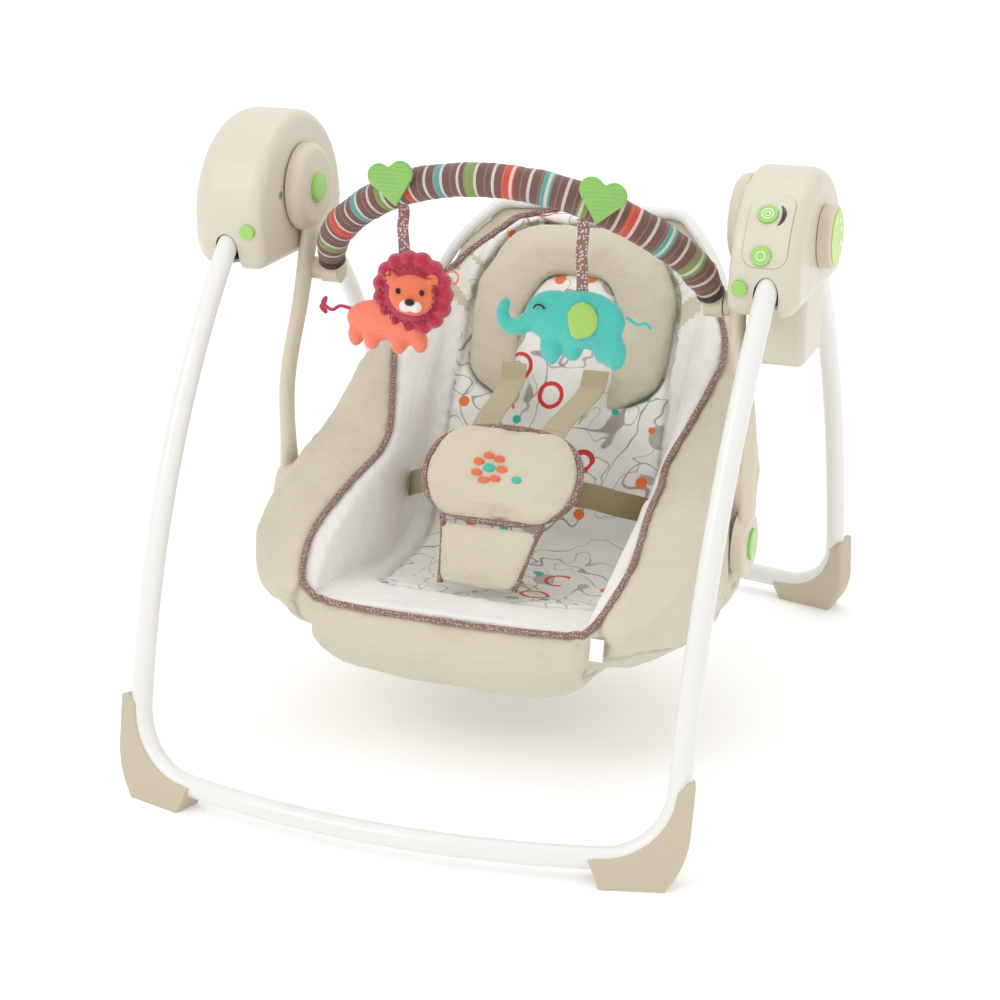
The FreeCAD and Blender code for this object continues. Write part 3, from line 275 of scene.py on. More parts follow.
def striped(tree, place, colour):
    """Rings of colour along the sleeve, with thin pale lines between them."""
    along = add(tree, "ShaderNodeAttribute", None, attribute_name="along").outputs["Fac"]
    bands = add(tree, "ShaderNodeValToRGB", {"Fac": along})
    paints = {"rust": dye(205, 84, 66), "teal": dye(98, 160, 150), "olive": dye(128, 152, 88)}
    wide = ((0.06, 0.025, "olive"), (0.13, 0.02, "teal"), (0.205, 0.022, "rust"), (0.30, 0.02, "olive"),
            (0.375, 0.018, "teal"), (0.445, 0.02, "rust"), (0.52, 0.02, "olive"), (0.585, 0.018, "teal"),
            (0.655, 0.02, "rust"), (0.72, 0.02, "olive"), (0.79, 0.02, "teal"), (0.865, 0.022, "rust"),
            (0.93, 0.02, "olive"))
    bands.color_ramp.interpolation = "CONSTANT"
    bands.color_ramp.elements.remove(bands.color_ramp.elements[1])
    bands.color_ramp.elements[0].color = colour
    for start, width, paint in wide:
        bands.color_ramp.elements.new(start).color = paints[paint]
        bands.color_ramp.elements.new(start + width).color = colour
    pale = maths(tree, "LESS_THAN", maths(tree, "FRACT", maths(tree, "MULTIPLY", along, 29.0)), 0.17)
    rosy = maths(tree, "LESS_THAN", maths(tree, "FRACT", maths(tree, "MULTIPLY", along, 58.0)), 0.12)
    ground = mixed(tree, maths(tree, "MULTIPLY", rosy, 0.35), bands.outputs[0], dye(215, 150, 150))
    return mixed(tree, maths(tree, "MULTIPLY", pale, 0.75), ground, dye(228, 216, 208))


BROWN = dye(118, 88, 80)
BEIGE = cloth("beige_knit", dye(210, 201, 181), yarn=230.0, depth=0.45)
WHITE = cloth("white_knit", dye(236, 233, 228), yarn=230.0, depth=0.4)
PRINTED = cloth("printed_knit", dye(240, 238, 233), yarn=240.0, depth=0.35, pattern=printed)
PIPING = cloth("piping_cloth", dye(140, 110, 102), yarn=500.0, pattern=dotted(dye(205, 186, 176), 420.0))
WEBBING = cloth("webbing", dye(196, 184, 150), yarn=420.0, depth=0.8)
KHAKI = cloth("khaki_webbing", dye(158, 142, 104), yarn=420.0, depth=0.8)
SLEEVE = cloth("striped_sleeve", BROWN, yarn=420.0, drift=0.06, pattern=striped)
# painted shade: the gathered sleeve ends are coloured dark in place of the shade that falls in them
CUFF_PAINTED_SHADE = cloth("cuff_painted_shade", dye(70, 54, 50), yarn=500.0)
RIBBON = cloth("dotted_ribbon", dye(150, 112, 106), yarn=600.0, pattern=dotted(dye(225, 205, 200), 330.0))
TAG = cloth("care_tag", dye(248, 247, 244), yarn=700.0, depth=0.2)
CRIMSON = cloth("crimson_plush", dye(196, 44, 76), yarn=380.0, depth=0.8, sheen=0.6)
CRIMSON_THREAD = cloth("crimson_thread", dye(140, 26, 52), yarn=900.0)
ORANGE = cloth("orange_plush", dye(240, 122, 84), yarn=380.0, depth=0.7, sheen=0.5)
CORAL = cloth("coral_plush", dye(250, 132, 106), yarn=380.0, depth=0.7, sheen=0.5)
TEAL = cloth("teal_plush", dye(78, 196, 182), yarn=380.0, depth=0.7, sheen=0.5)
LIME_PLUSH = cloth("lime_plush", dye(168, 208, 104), yarn=380.0, depth=0.7, sheen=0.5)
WHITE_PLUSH = cloth("white_plush", dye(240, 236, 230), yarn=380.0, depth=0.6, sheen=0.4)
DARK_THREAD = cloth("dark_thread", dye(48, 34, 34), yarn=900.0)
FELT = cloth("green_felt", dye(150, 212, 104), yarn=640.0, depth=0.9, sheen=0.5, drift=0.2)
CREAM = plastic("cream_plastic", dye(206, 198, 181), rough=0.38, coat=0.15)
PUTTY = plastic("putty_plastic", dye(206, 196, 175), rough=0.42, coat=0.1)
BOOT = plastic("taupe_rubber", dye(190, 178, 156), rough=0.6, grain=0.3)
LIME = plastic("lime_plastic", dye(150, 200, 100), rough=0.32, coat=0.25)
DIAL_LIME = plastic("dial_lime", dye(166, 206, 62), rough=0.3, coat=0.3)
SMOKE = plastic("smoked_window", dye(40, 42, 44), rough=0.12, coat=0.6, grain=0.0)
PALE_MARK = plastic("pale_ink", dye(240, 240, 232), rough=0.5)
NYLON = plastic("nylon", dye(232, 230, 222), rough=0.5)
BACKING = plastic("back_panel", dye(196, 186, 166), rough=0.6)
BOARD = plastic("laminate", dye(30, 96, 60), rough=0.4)
DARK = plastic("dark_plastic", dye(38, 38, 42), rough=0.4)
PAINT = plastic("powder_coat", dye(224, 222, 218), rough=0.3, coat=0.35, grain=0.2)
STEEL = metal("bright_steel", dye(190, 190, 192))
COPPER = metal("enamelled_copper", dye(190, 110, 62))

NODE_FINISH = {
    CREAM: ("left_casing_cover", "left_casing_plate", "right_casing_front", "right_casing_rear",
            "right_casing_plate", "control_panel", "battery_door"),
    PUTTY: ("left_swing_arm", "right_swing_arm", "toy_bar_ends", "seat_hubs", "speed_dial"),
    BOOT: ("front_left_foot", "front_right_foot", "rear_left_foot", "rear_right_foot"),
    LIME: ("front_left_release_button", "front_right_release_button", "rear_left_release_button",
           "rear_right_release_button", "left_recline_button", "right_recline_button", "hub_caps",
           "music_button", "volume_button"),
    DIAL_LIME: ("dial_disc",),
    PAINT: ("front_leg_tube", "rear_leg_tube", "seat_frame_front", "seat_frame_rear"),
    NYLON: ("front_leg_knuckles", "rear_leg_knuckles", "hub_bushes", "magnet_lever", "toy_bar_core",
            "harness_buckle", "speed_switch"),
    STEEL: ("leg_pivot_pins", "hub_shafts", "drive_magnet"),
    COPPER: ("drive_coil",),
    DARK: ("battery_cells", "speaker"),
    BOARD: ("circuit_board",),
    BACKING: ("seat_back_board",),
}


def finish_nodes():
    for material, names in NODE_FINISH.items():
        for name in names:
            mesh = frame["nodes"][name].data
            mesh.materials.clear()
            mesh.materials.append(material)


# ------------------------------------------------------------ piece making

def as_piece(name, source, body, *materials, stands_for=(), slot=None):
    """Object from a bmesh or a mesh, riding on a body."""
    if isinstance(source, bmesh.types.BMesh):
        bmesh.ops.recalc_face_normals(source, faces=source.faces)
        mesh = bpy.data.meshes.new(name)
        source.to_mesh(mesh)
        source.free()
    else:
        mesh = source
    mesh.name = name
    mesh.materials.clear()
    for material in materials:
        mesh.materials.append(material)
    mesh.polygons.foreach_set("use_smooth", [True] * len(mesh.polygons))
    piece = bpy.data.objects.new(name, mesh)
    bpy.context.collection.objects.link(piece)
    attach(piece, body)
    if stands_for:
        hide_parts(*stands_for)
    return piece


def evaluated_mesh(piece):
    return bpy.data.meshes.new_from_object(piece.evaluated_get(bpy.context.evaluated_depsgraph_get()))


def remeshed(start, voxel):
    """Closed even skin around a bmesh, as a mesh."""
    mesh = bpy.data.meshes.new("skin")
    start.to_mesh(mesh)
    start.free()
    holder = bpy.data.objects.new("skin", mesh)
    bpy.context.collection.objects.link(holder)
    modifier = holder.modifiers.new("even", "REMESH")
    modifier.mode = "VOXEL"
    modifier.voxel_size = voxel
    skin = evaluated_mesh(holder)
    bpy.data.objects.remove(holder)
    return skin


def smoothed(mesh, rounds):
    work = bmesh.new()
    work.from_mesh(mesh)
    for _ in range(rounds):
        bmesh.ops.smooth_vert(work, verts=work.verts, factor=0.5, use_axis_x=True, use_axis_y=True,
                              use_axis_z=True)
    work.to_mesh(mesh)
    work.free()
    return mesh


def joined(names, swell=0.0):
    """CAD solids in one bmesh, each grown a little so that neighbours meet."""
    work = bmesh.new()
    for name in names:
        work.from_mesh(frame["nodes"][name].data)
    bmesh.ops.remove_doubles(work, verts=work.verts, dist=1e-5)
    work.normal_update()
    for vert in work.verts:
        vert.co += vert.normal * swell
    return work


def puffed(mesh, cap, pressure=4.0):
    """Inflates a closed skin as cloth, and limits how far any point goes."""
    holder = bpy.data.objects.new("stuffing", mesh)
    bpy.context.collection.objects.link(holder)
    rest = [vert.co.copy() for vert in mesh.vertices]
    modifier = holder.modifiers.new("stuffing", "CLOTH")
    settings = modifier.settings
    settings.quality = 5
    settings.mass = 0.25
    settings.tension_stiffness = 18
    settings.compression_stiffness = 14
    settings.bending_stiffness = 0.6
    settings.use_pressure = True
    settings.uniform_pressure_force = pressure
    settings.effector_weights.gravity = 0
    modifier.point_cache.frame_start = 1
    modifier.point_cache.frame_end = 20
    scene = bpy.context.scene
    for number in range(1, 21):
        scene.frame_set(number)
    blown = evaluated_mesh(holder)
    for number, vert in enumerate(mesh.vertices):
        move = blown.vertices[number].co - rest[number]
        if move.length > cap:
            move *= cap / move.length
        vert.co = rest[number] + move
    holder.modifiers.clear()
    bpy.data.objects.remove(holder)
    bpy.data.meshes.remove(blown)
    scene.frame_set(1)
    return mesh


def sew(mesh, lines, depth, width, pucker=0.0):
    """Pulls a skin in along sewn lines, with small puckers beside them, and marks how much painted shade each
    sewn crease gets.
    """
    points = [point for line in lines for point in dense(line, 2.5 * MM)]
    tree = kdtree.KDTree(len(points))
    for number, point in enumerate(points):
        tree.insert(point, number)
    tree.balance()
    # strength of the shade painted into the sewn crease, deepest where the skin is pulled in most
    mark = mesh.attributes.get("seam_shade") or mesh.attributes.new("seam_shade", "FLOAT", "POINT")
    normals = [vert.normal.copy() for vert in mesh.vertices]
    for number, vert in enumerate(mesh.vertices):
        _, index, distance = tree.find(vert.co)
        if distance > 4 * width:
            continue
        pull = math.exp(-(distance / width) ** 2)
        wave = math.sin(index * 0.95 + 2.0 * math.sin(index * 0.21))
        ripple = wave * math.exp(-(distance / (2.2 * width)) ** 2)
        vert.co -= normals[number] * (depth * pull + pucker * ripple)
        mark.data[number].value = max(mark.data[number].value, pull ** 3)


def dense(line, step):
    """Points at about even steps along a line of points."""
    points = []
    for start, end in zip(line, line[1:]):
        count = max(1, int((end - start).length / step))
        points.extend(start.lerp(end, number / count) for number in range(count))
    return points + [line[-1]]


def curved(points, count=8, closed=False):
    """Smooth line through given points."""
    size = len(points)
    pick = (lambda i: points[i % size]) if closed else (lambda i: points[max(0, min(size - 1, i))])
    result = []
    for number in range(size if closed else size - 1):
        before, start, end, after = (pick(number + shift) for shift in (-1, 0, 1, 2))
        for part in range(count):
            t = part / count
            square = (2 * before - 5 * start + 4 * end - after) * t * t
            cube = (3 * start - before - 3 * end + after) * t ** 3
            result.append(0.5 * (2 * start + (end - before) * t + square + cube))
    return result if closed else result + [points[-1].copy()]


def tube_mesh(name, points, radius, closed=False, widths=None, sides=4):
    """Round cord or piping along a line, as a mesh with closed ends."""
    curve = bpy.data.curves.new(name, "CURVE")
    curve.dimensions = "3D"
    spline = curve.splines.new("POLY")
    spline.points.add(len(points) - 1)
    for number, point in enumerate(points):
        spline.points[number].co = (*point, 1.0)
        spline.points[number].radius = widths[number] if widths else 1.0
    spline.use_cyclic_u = closed
    curve.bevel_depth = radius
    curve.bevel_resolution = sides
    curve.use_fill_caps = not closed
    holder = bpy.data.objects.new(name, curve)
    bpy.context.collection.objects.link(holder)
    mesh = evaluated_mesh(holder)
    bpy.data.objects.remove(holder)
    work = bmesh.new()
    work.from_mesh(mesh)
    bmesh.ops.remove_doubles(work, verts=work.verts, dist=1e-6)
    bmesh.ops.recalc_face_normals(work, faces=work.faces)
    work.to_mesh(mesh)
    work.free()
    return mesh


def strap_mesh(name, centres, across, width, thickness):
    """Flat webbing: one edge drawn along the centres, then given its thickness."""
    work = bmesh.new()
    half = across.normalized() * width / 2
    ends = [work.verts.new(centres[0] - half), work.verts.new(centres[0] + half)]
    edges = [work.edges.new(ends)]
    for start, end in zip(centres, centres[1:]):
        drawn = bmesh.ops.extrude_edge_only(work, edges=edges)["geom"]
        verts = {item for item in drawn if isinstance(item, bmesh.types.BMVert)}
        bmesh.ops.translate(work, vec=end - start, verts=list(verts))
        edges = [item for item in drawn if isinstance(item, bmesh.types.BMEdge) and set(item.verts) <= verts]
    bmesh.ops.recalc_face_normals(work, faces=work.faces)
    bmesh.ops.solidify(work, geom=work.faces, thickness=thickness)
    rims = [edge for edge in work.edges if edge.calc_face_angle(0) > 0.8]
    bmesh.ops.bevel(work, geom=rims, offset=thickness * 0.3, segments=2, profile=0.5, material=-1,
                    affect="EDGES")
    return work


def ball(work, centre, radii, turn=0.0):
    """Egg shape in a bmesh, turned about the line of sight from the front."""
    place = Matrix.Translation(centre) @ Matrix.Rotation(turn, 4, "Y") @ Matrix.Diagonal((*radii, 1.0))
    bmesh.ops.create_uvsphere(work, u_segments=24, v_segments=14, radius=1.0, matrix=place)


def stuffed_animal_part(name, origin, eggs, body, material, voxel=1.8, rounds=4, stands_for=()):
    """Eggs in millimetres from the origin, melted into one stuffed form."""
    work = bmesh.new()
    for (x, y, z), (wide, deep, high), *turn in eggs:
        ball(work, origin + mm(x, y, z), mm(wide, deep, high), math.radians(turn[0]) if turn else 0.0)
    mesh = smoothed(remeshed(work, voxel * MM), rounds)
    for vert in mesh.vertices:
        vert.co += vert.normal * 0.5 * MM * noise.noise(vert.co * 160)
    piece = as_piece(name, mesh, body, material, stands_for=stands_for)
    return piece


def add_subdivision(piece):
    modifier = piece.modifiers.new("smooth", "SUBSURF")
    modifier.levels = 1
    modifier.render_levels = 1


# ------------------------------------------------------------ seat

CREST_HALF = ((0, -208, 158), (80, -209, 160), (122, -210, 168), (142, -205, 180), (156, -165, 202),
              (159, -120, 212), (154, -50, 226), (151, 14, 238), (160, 60, 276), (176, 118, 340),
              (165, 148, 376), (138, 172, 410), (106, 192, 438), (68, 208, 459), (28, 215, 469))
INNER_HALF = ((0, -118, 138), (70, -117, 139), (104, -106, 140), (116, -70, 138), (118, 0, 132),
              (118, 50, 140),
              (117, 84, 190), (116, 122, 270), (112, 158, 345), (98, 184, 400), (64, 202, 436))
CORNER_SEAMS = (  # front corner, flank and the edge of the underside, right hand side
    ((142, -205, 180), (152, -207, 158), (156, -205, 132), (150, -198, 108)),
    ((156, -205, 132), (214, -130, 138), (224, -40, 146), (220, 60, 180), (204, 130, 290), (160, 190, 400)),
    ((150, -198, 108), (141, -120, 98), (141, 0, 100), (140, 90, 140), (139, 160, 250), (128, 226, 400)))


def mirrored_loop(half):
    """Closed loop from its right half; the first point lies on the middle."""
    right = [mm(*point) for point in half]
    left = [Vector((-point.x, point.y, point.z)) for point in reversed(right[1:])]
    return right + left


def on_skin(skin, points, lift=0.0):
    """Points brought to the nearest place of a skin, with the skin's normals there."""
    found = [skin.find_nearest(point)[:2] for point in points]
    return [place + normal * lift for place, normal in found], [normal for _, normal in found]


def eased(points, rounds):
    """Closed line with its corners softened."""
    for _ in range(rounds):
        points = [(points[number - 1] + point * 2 + points[(number + 1) % len(points)]) / 4
                  for number, point in enumerate(points)]
    return points


def skin_of(mesh):
    return BVHTree.FromPolygons([vert.co for vert in mesh.vertices],
                                [tuple(face.vertices) for face in mesh.polygons])


def paint_zones(mesh, crest, normals):
    """Slot 0 outside the piping, slot 1 inside it, slot 2 on the printed middle."""
    tree = kdtree.KDTree(len(crest))
    for number, point in enumerate(crest):
        tree.insert(point, number)
    tree.balance()
    focus = mm(0, -60, 400)
    for face in mesh.polygons:
        place, index, distance = tree.find(face.center)
        if distance < ZONE_REACH * MM:
            along = crest[(index + 1) % len(crest)] - crest[index - 1]
            inside = (face.center - place).dot(normals[index].cross(along)) > 0
        else:
            inside = abs(face.center.x) < OPEN_HALF_WIDTH * MM and face.normal.dot(focus - face.center) > 0
        middle = (abs(face.center.x) < MIDDLE_HALF_WIDTH * MM and face.center.y > MIDDLE_FRONT * MM
                  and face.center.z < MIDDLE_TOP * MM)
        face.material_index = (2 if middle else 1) if inside else 0


def make_seat():
    start = joined(["seat_cover_base", "seat_cover_back", "seat_cover_sides", "seat_frame_front",
                    "seat_frame_rear"], 0.6 * MM)
    mesh = smoothed(remeshed(start, 5 * MM), 16)
    mesh = puffed(mesh, 9 * MM)
    skin = skin_of(mesh)
    crest, _ = on_skin(skin, curved(mirrored_loop(CREST_HALF), 8, closed=True))
    crest, normals = on_skin(skin, eased(crest, 10))
    inner, _ = on_skin(skin, curved(mirrored_loop(INNER_HALF), 8, closed=True))
    corners = [on_skin(skin, curved([mm(side * x, y, z) for x, y, z in line], 10))[0]
               for side in SIDES for line in CORNER_SEAMS]
    sew(mesh, [crest + crest[:1]], 2.0 * MM, 5 * MM, 0.5 * MM)
    sew(mesh, [inner + inner[:1]], 3.2 * MM, 5 * MM, 0.9 * MM)
    sew(mesh, corners, 2.2 * MM, 5 * MM, 0.8 * MM)
    for vert in mesh.vertices:
        vert.co += vert.normal * 1.6 * MM * noise.fractal(vert.co * 22, 0.6, 2.0, 3)
    seat = as_piece("seat_bucket", mesh, "seat", BEIGE, WHITE, PRINTED, slot="beige_fabric",
                    stands_for=("seat_cover_base", "seat_cover_back", "seat_cover_sides"))
    paint_zones(mesh, crest, normals)
    add_subdivision(seat)
    raised = [place + normal * 0.8 * MM for place, normal in zip(crest, normals)]
    as_piece("seat_piping", tube_mesh("seat_piping", raised, PIPING_RADIUS * MM, closed=True), "seat", PIPING)
    place, normal = skin.find_nearest(mm(146, -212, 158))[:2]
    down = Vector((0, 0.15, -1)).normalized()
    tag = [place + normal * (1.5 + 1.5 * step) * MM + down * step * 7 * MM for step in range(4)]
    as_piece("care_tag", strap_mesh("care_tag", tag, Vector((1, 0, 0)), 13 * MM, 0.5 * MM), "seat", TAG)


def make_headrest():
    arch = puffed(smoothed(remeshed(joined(["headrest"]), 4 * MM), 9), 7 * MM)
    for vert in arch.vertices:
        vert.co += vert.normal * 1.2 * MM * noise.fractal(vert.co * 30, 0.6, 2.0, 3)
    piece = as_piece("headrest_bolster", arch, "seat", BEIGE, slot="beige_fabric", stands_for=("headrest",))
    add_subdivision(piece)
    panel = puffed(smoothed(remeshed(joined(["headrest_panel"]), 4 * MM), 6), 5 * MM)
    piece = as_piece("headrest_pad", panel, "seat", WHITE, slot="beige_fabric",
                     stands_for=("headrest_panel",))
    add_subdivision(piece)


# ------------------------------------------------------------ harness

def pad_place(x, y, z):
    """Point on the harness pad: sideways, up the pad and out of it, in millimetres from its middle."""
    low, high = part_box("crotch_pad")
    return (low + high) / 2 + Matrix.Rotation(PAD_TILT, 3, "X") @ mm(x, y, z)


def make_harness():
    outline = [pad_place(79 * math.copysign(abs(math.cos(a)) ** 0.8, math.cos(a)),
                         49 * math.copysign(abs(math.sin(a)) ** 0.8, math.sin(a)), 1)
               for a in (math.tau * step / 72 for step in range(72))]
    pad = puffed(smoothed(remeshed(joined(["crotch_pad"]), 3 * MM), 7), 5 * MM)
    pad_skin = skin_of(pad)
    piece = as_piece("harness_pad", pad, "seat", BEIGE, slot="beige_fabric", stands_for=("crotch_pad",))
    add_subdivision(piece)
    binding = tube_mesh("binding", outline, PAD_BINDING_RADIUS * MM, closed=True)
    as_piece("harness_pad_binding", binding, "seat", PIPING)
    strap = puffed(smoothed(remeshed(joined(["crotch_strap"]), 3 * MM), 6), 4 * MM)
    piece = as_piece("crotch_piece", strap, "seat", BEIGE, slot="beige_fabric", stands_for=("crotch_strap",))
    add_subdivision(piece)
    for side in SIDES:
        edge = curved([pad_place(side * x, y, -1) for x, y in ((52, -46), (47, -62), (42, -88),
                                                               (38, -114))], 6)
        binding = tube_mesh("binding", edge, CROTCH_BINDING_RADIUS * MM)
        as_piece(f"crotch_binding_{WORDS[side]}", binding, "seat", PIPING)
    petals = bmesh.new()
    for step in range(7):
        turn = math.tau * step / 7
        place = pad_skin.find_nearest(pad_place(-10 + 13 * math.cos(turn), 1 + 13 * math.sin(turn), 14))[0]
        ball(petals, place, mm(6.0, 2.4, 4.6))
    as_piece("sewn_flower", petals, "seat", ORANGE)
    middle = bmesh.new()
    for x, y, size in ((-10, 1, 6.4), (20, -8, 5.0)):
        ball(middle, pad_skin.find_nearest(pad_place(x, y, 14))[0], mm(size, 2.8, size * 0.9))
    as_piece("sewn_dots", middle, "seat", TEAL)
    for side in SIDES:
        word = WORDS[side]
        route = [mm(side * 44, 108, 316), mm(side * 43, 96, 300), mm(side * 40, 60, 292),
                 mm(side * 37, 18, 287),
                 mm(side * 35, -12, 277), mm(side * 34, -22, 262)]
        strap = strap_mesh("strap", curved(route, 8), Vector((1, 0.05 * side, 0)), 27 * MM, 2.2 * MM)
        as_piece(f"shoulder_strap_{word}", strap, "seat", WEBBING,
                 stands_for=("shoulder_straps",) if side > 0 else ())
        route = [mm(side * 141, 46, 190), mm(side * 126, 26, 202), mm(side * 104, -4, 217),
                 mm(side * 84, -28, 230),
                 mm(side * 66, -42, 236)]
        strap = strap_mesh("strap", curved(route, 8), Vector((0.1 * side, 0.4, 1)), 25 * MM, 2.2 * MM)
        as_piece(f"waist_strap_{word}", strap, "seat", KHAKI,
                 stands_for=("waist_straps",) if side > 0 else ())


# ------------------------------------------------------------ toy bar

def bar_line(count=150):
    """Middle line of the toy bar, from its right end over the top to the left."""
    rise = BAR_LEAN.length
    crown_radius = ((BAR_HALF - BAR_END_ARC) ** 2 + rise ** 2 - BAR_END_ARC ** 2) / (2 * (rise - BAR_END_ARC))
    spring = Vector((BAR_HALF - BAR_END_ARC, 0))
    crown = Vector((0, rise - crown_radius))
    turn = math.atan2(spring.y - crown.y, spring.x - crown.x)
    end_length = BAR_END_ARC * turn
    crown_length = crown_radius * (math.pi / 2 - turn)
    pivot = Vector(next(joint for joint in frame["joints"] if joint["name"] == "toy_bar_pivot")["pos_m"])
    up = BAR_LEAN.normalized()
    points = []
    for step in range(count + 1):
        travel = 2 * (end_length + crown_length) * step / count
        side = 1
        if travel > end_length + crown_length:
            travel = 2 * (end_length + crown_length) - travel
            side = -1
        if travel < end_length:
            angle = travel / BAR_END_ARC
            flat = spring + Vector((math.cos(angle), math.sin(angle))) * BAR_END_ARC
        else:
            angle = turn + (travel - end_length) / crown_radius
            flat = crown + Vector((math.cos(angle), math.sin(angle))) * crown_radius
        points.append(pivot + (Vector((side * flat.x, 0, 0)) + up * flat.y) * MM)
    return points


def make_toy_bar():
    line = bar_line()
    covered = line[6:-6]
    widths = [1.0 - 0.035 * abs(math.sin(step * 1.9)) + 0.02 * math.sin(step * 0.37)
              for step in range(len(covered))]
    for step in range(5):
        widths[step] *= 0.8 + 0.04 * step
        widths[-1 - step] *= 0.8 + 0.04 * step
    mesh = tube_mesh("sleeve", covered, SLEEVE_RADIUS * MM, widths=widths, sides=8)
    tree = kdtree.KDTree(len(covered))
    for number, point in enumerate(covered):
        tree.insert(point, number)
    tree.balance()
    mark = mesh.attributes.new("along", "FLOAT", "POINT")
    last = len(covered) - 1
    for number, vert in enumerate(mesh.vertices):
        _, index, _ = tree.find(vert.co)
        before, after = covered[max(0, index - 1)], covered[min(last, index + 1)]
        reach = (after - before).length / 2 + 1e-9
        part = (vert.co - covered[index]).dot((after - before).normalized()) / reach
        mark.data[number].value = min(1.0, max(0.0, (index + part) / last))
        vert.co += vert.normal * 0.9 * MM * noise.noise(vert.co * 70)
    sleeve = as_piece("bar_sleeve", mesh, "toy_bar", SLEEVE, slot="sleeve_fabric",
                      stands_for=("toy_bar_sleeve",))
    for word, points in (("right", line[3:9]), ("left", line[-9:-3][::-1])):
        widths = [0.82, 1.0, 0.86, 0.98, 0.88, 0.96]
        # gathered sleeve ends, coloured dark as painted shade
        as_piece(f"bar_cuff_{word}", tube_mesh("cuff", points, 13.5 * MM, widths=widths, sides=6),
                 "toy_bar", CUFF_PAINTED_SHADE)
    hearts = smoothed(remeshed(joined(["toy_hearts"]), 1.2 * MM), 3)
    piece = as_piece("felt_hearts", hearts, "toy_bar", FELT, stands_for=("toy_hearts",))


def make_ribbon(node, body):
    low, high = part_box(node)
    middle = (low + high) / 2
    points = [Vector((middle.x + 0.8 * MM * math.sin(step * 0.9), middle.y + 0.7 * MM * math.sin(step * 1.3),
                      high.z + 10 * MM - (high.z - low.z + 14 * MM) * step / 10)) for step in range(11)]
    strap = strap_mesh("ribbon", points, Vector((1, 0.12, 0)), high.x - low.x, 1.0 * MM)
    as_piece(f"{body}_dotted_ribbon", strap, body, RIBBON, stands_for=(node,))
    return Vector((middle.x, middle.y, low.z))


def make_lion():
    knot = make_ribbon("lion_ribbon", "lion") + mm(9, 0, 0)
    rim = [((33 * math.cos(a), 0, -40 + 33 * math.sin(a)), (8.5, 9, 8.5))
           for a in (math.tau * step / 15 for step in range(15))]
    stuffed_animal_part("lion_mane", knot, [((0, 0, -40), (34, 12, 34)), *rim], "lion", CRIMSON,
                        stands_for=("lion_toy",))
    zigzag = []
    for step in range(48):
        angle = math.tau * step / 48
        reach = 30 if step % 2 else 25
        zigzag.append(knot + mm(reach * math.cos(angle), -12.6, -40 + reach * math.sin(angle)))
    as_piece("lion_zigzag", tube_mesh("zigzag", zigzag, 0.7 * MM, closed=True, sides=2), "lion",
             CRIMSON_THREAD)
    stuffed_animal_part("lion_face", knot, [((3, -10, -40), (24, 8, 20)), ((-19, -9, -25), (7, 5, 7)),
                                            ((23, -9, -25), (7, 5, 7))], "lion", ORANGE)
    stuffed_animal_part("lion_muzzle", knot, [((0, -17, -49), (7, 5, 6)), ((9, -17, -49), (7, 5, 6))], "lion",
                        WHITE_PLUSH, voxel=1.0, rounds=2)
    dark = bmesh.new()
    for x, y, z, wide, deep, high in ((5, -21, -44, 5, 3, 3.4), (-8, -17.5, -35, 2.6, 1.6, 3),
                                      (16, -17.5, -35, 2.6, 1.6, 3)):
        ball(dark, knot + mm(x, y, z), mm(wide, deep, high))
    as_piece("lion_eyes_and_nose", dark, "lion", DARK_THREAD)
    stuffed_animal_part("lion_body", knot, [
        ((-34, 2, -70), (36, 11, 20)), ((-12, 2, -76), (24, 11, 17)), ((-60, 1, -86), (8, 8, 12)),
        ((-42, -3, -88), (8, 7, 11)), ((-14, -3, -90), (8, 8, 11)), ((6, 1, -88), (8, 8, 11))], "lion", CORAL)
    tail = curved([knot + mm(*point) for point in ((-64, 2, -62), (-76, 2, -60), (-84, 0, -64),
                                                   (-92, 0, -60))], 5)
    as_piece("lion_tail", tube_mesh("tail", tail, 1.8 * MM), "lion", CRIMSON)
    stuffed_animal_part("lion_tail_tuft", knot, [((-92, 0, -56), (3, 3, 6), 30),
                                                 ((-93, 0, -64), (3, 3, 6), -40)],
                        "lion", CRIMSON, voxel=1.0, rounds=2)
    loop = ring(knot + mm(40, 0, -22), Vector((0, 1, 0)), 6 * MM, count=20)
    as_piece("lion_tag_loop", tube_mesh("loop", loop, 1.0 * MM, closed=True), "lion", CORAL)


def make_elephant():
    knot = make_ribbon("elephant_ribbon", "elephant") + mm(5, 0, 0)
    trunk = curved([mm(*point) for point in ((-48, 0, -26), (-62, -1, -40), (-75, -1, -42), (-82, -1, -32),
                                             (-79, -1, -20))], 7)
    eggs = [((point.x / MM, point.y / MM, point.z / MM), (9.5 - 0.16 * number,) * 3)
            for number, point in enumerate(trunk)]
    stuffed_animal_part("elephant_body", knot, [
        ((-4, 0, -30), (42, 12, 28)), ((-30, 0, -29), (30, 12, 25)), ((-34, 0, -58), (11, 9, 18)),
        ((-14, 2, -55), (11, 8, 16)), ((16, 2, -55), (11, 8, 16)), ((28, 0, -58), (11, 9, 18)), *eggs],
        "elephant", TEAL, stands_for=("elephant_toy",))
    stuffed_animal_part("elephant_ear", knot, [((0, -12, -27), (15, 3.8, 17)), ((-4, -12, -37), (9, 3.4, 9))],
                        "elephant", LIME_PLUSH, voxel=1.2, rounds=3)
    eye = [knot + mm(-42 + 5 * math.cos(a), -12.6, -20 + 4 * math.sin(a))
           for a in (math.pi * step / 10 for step in range(11))]
    as_piece("elephant_eye", tube_mesh("eye", eye, 0.9 * MM, sides=2), "elephant", DARK_THREAD)
    tail = curved([knot + mm(*point) for point in ((38, 1, -24), (48, 1, -30), (56, 0, -28),
                                                   (62, 0, -33))], 5)
    as_piece("elephant_tail", tube_mesh("tail", tail, 1.6 * MM), "elephant", TEAL)


# ------------------------------------------------------------ controls

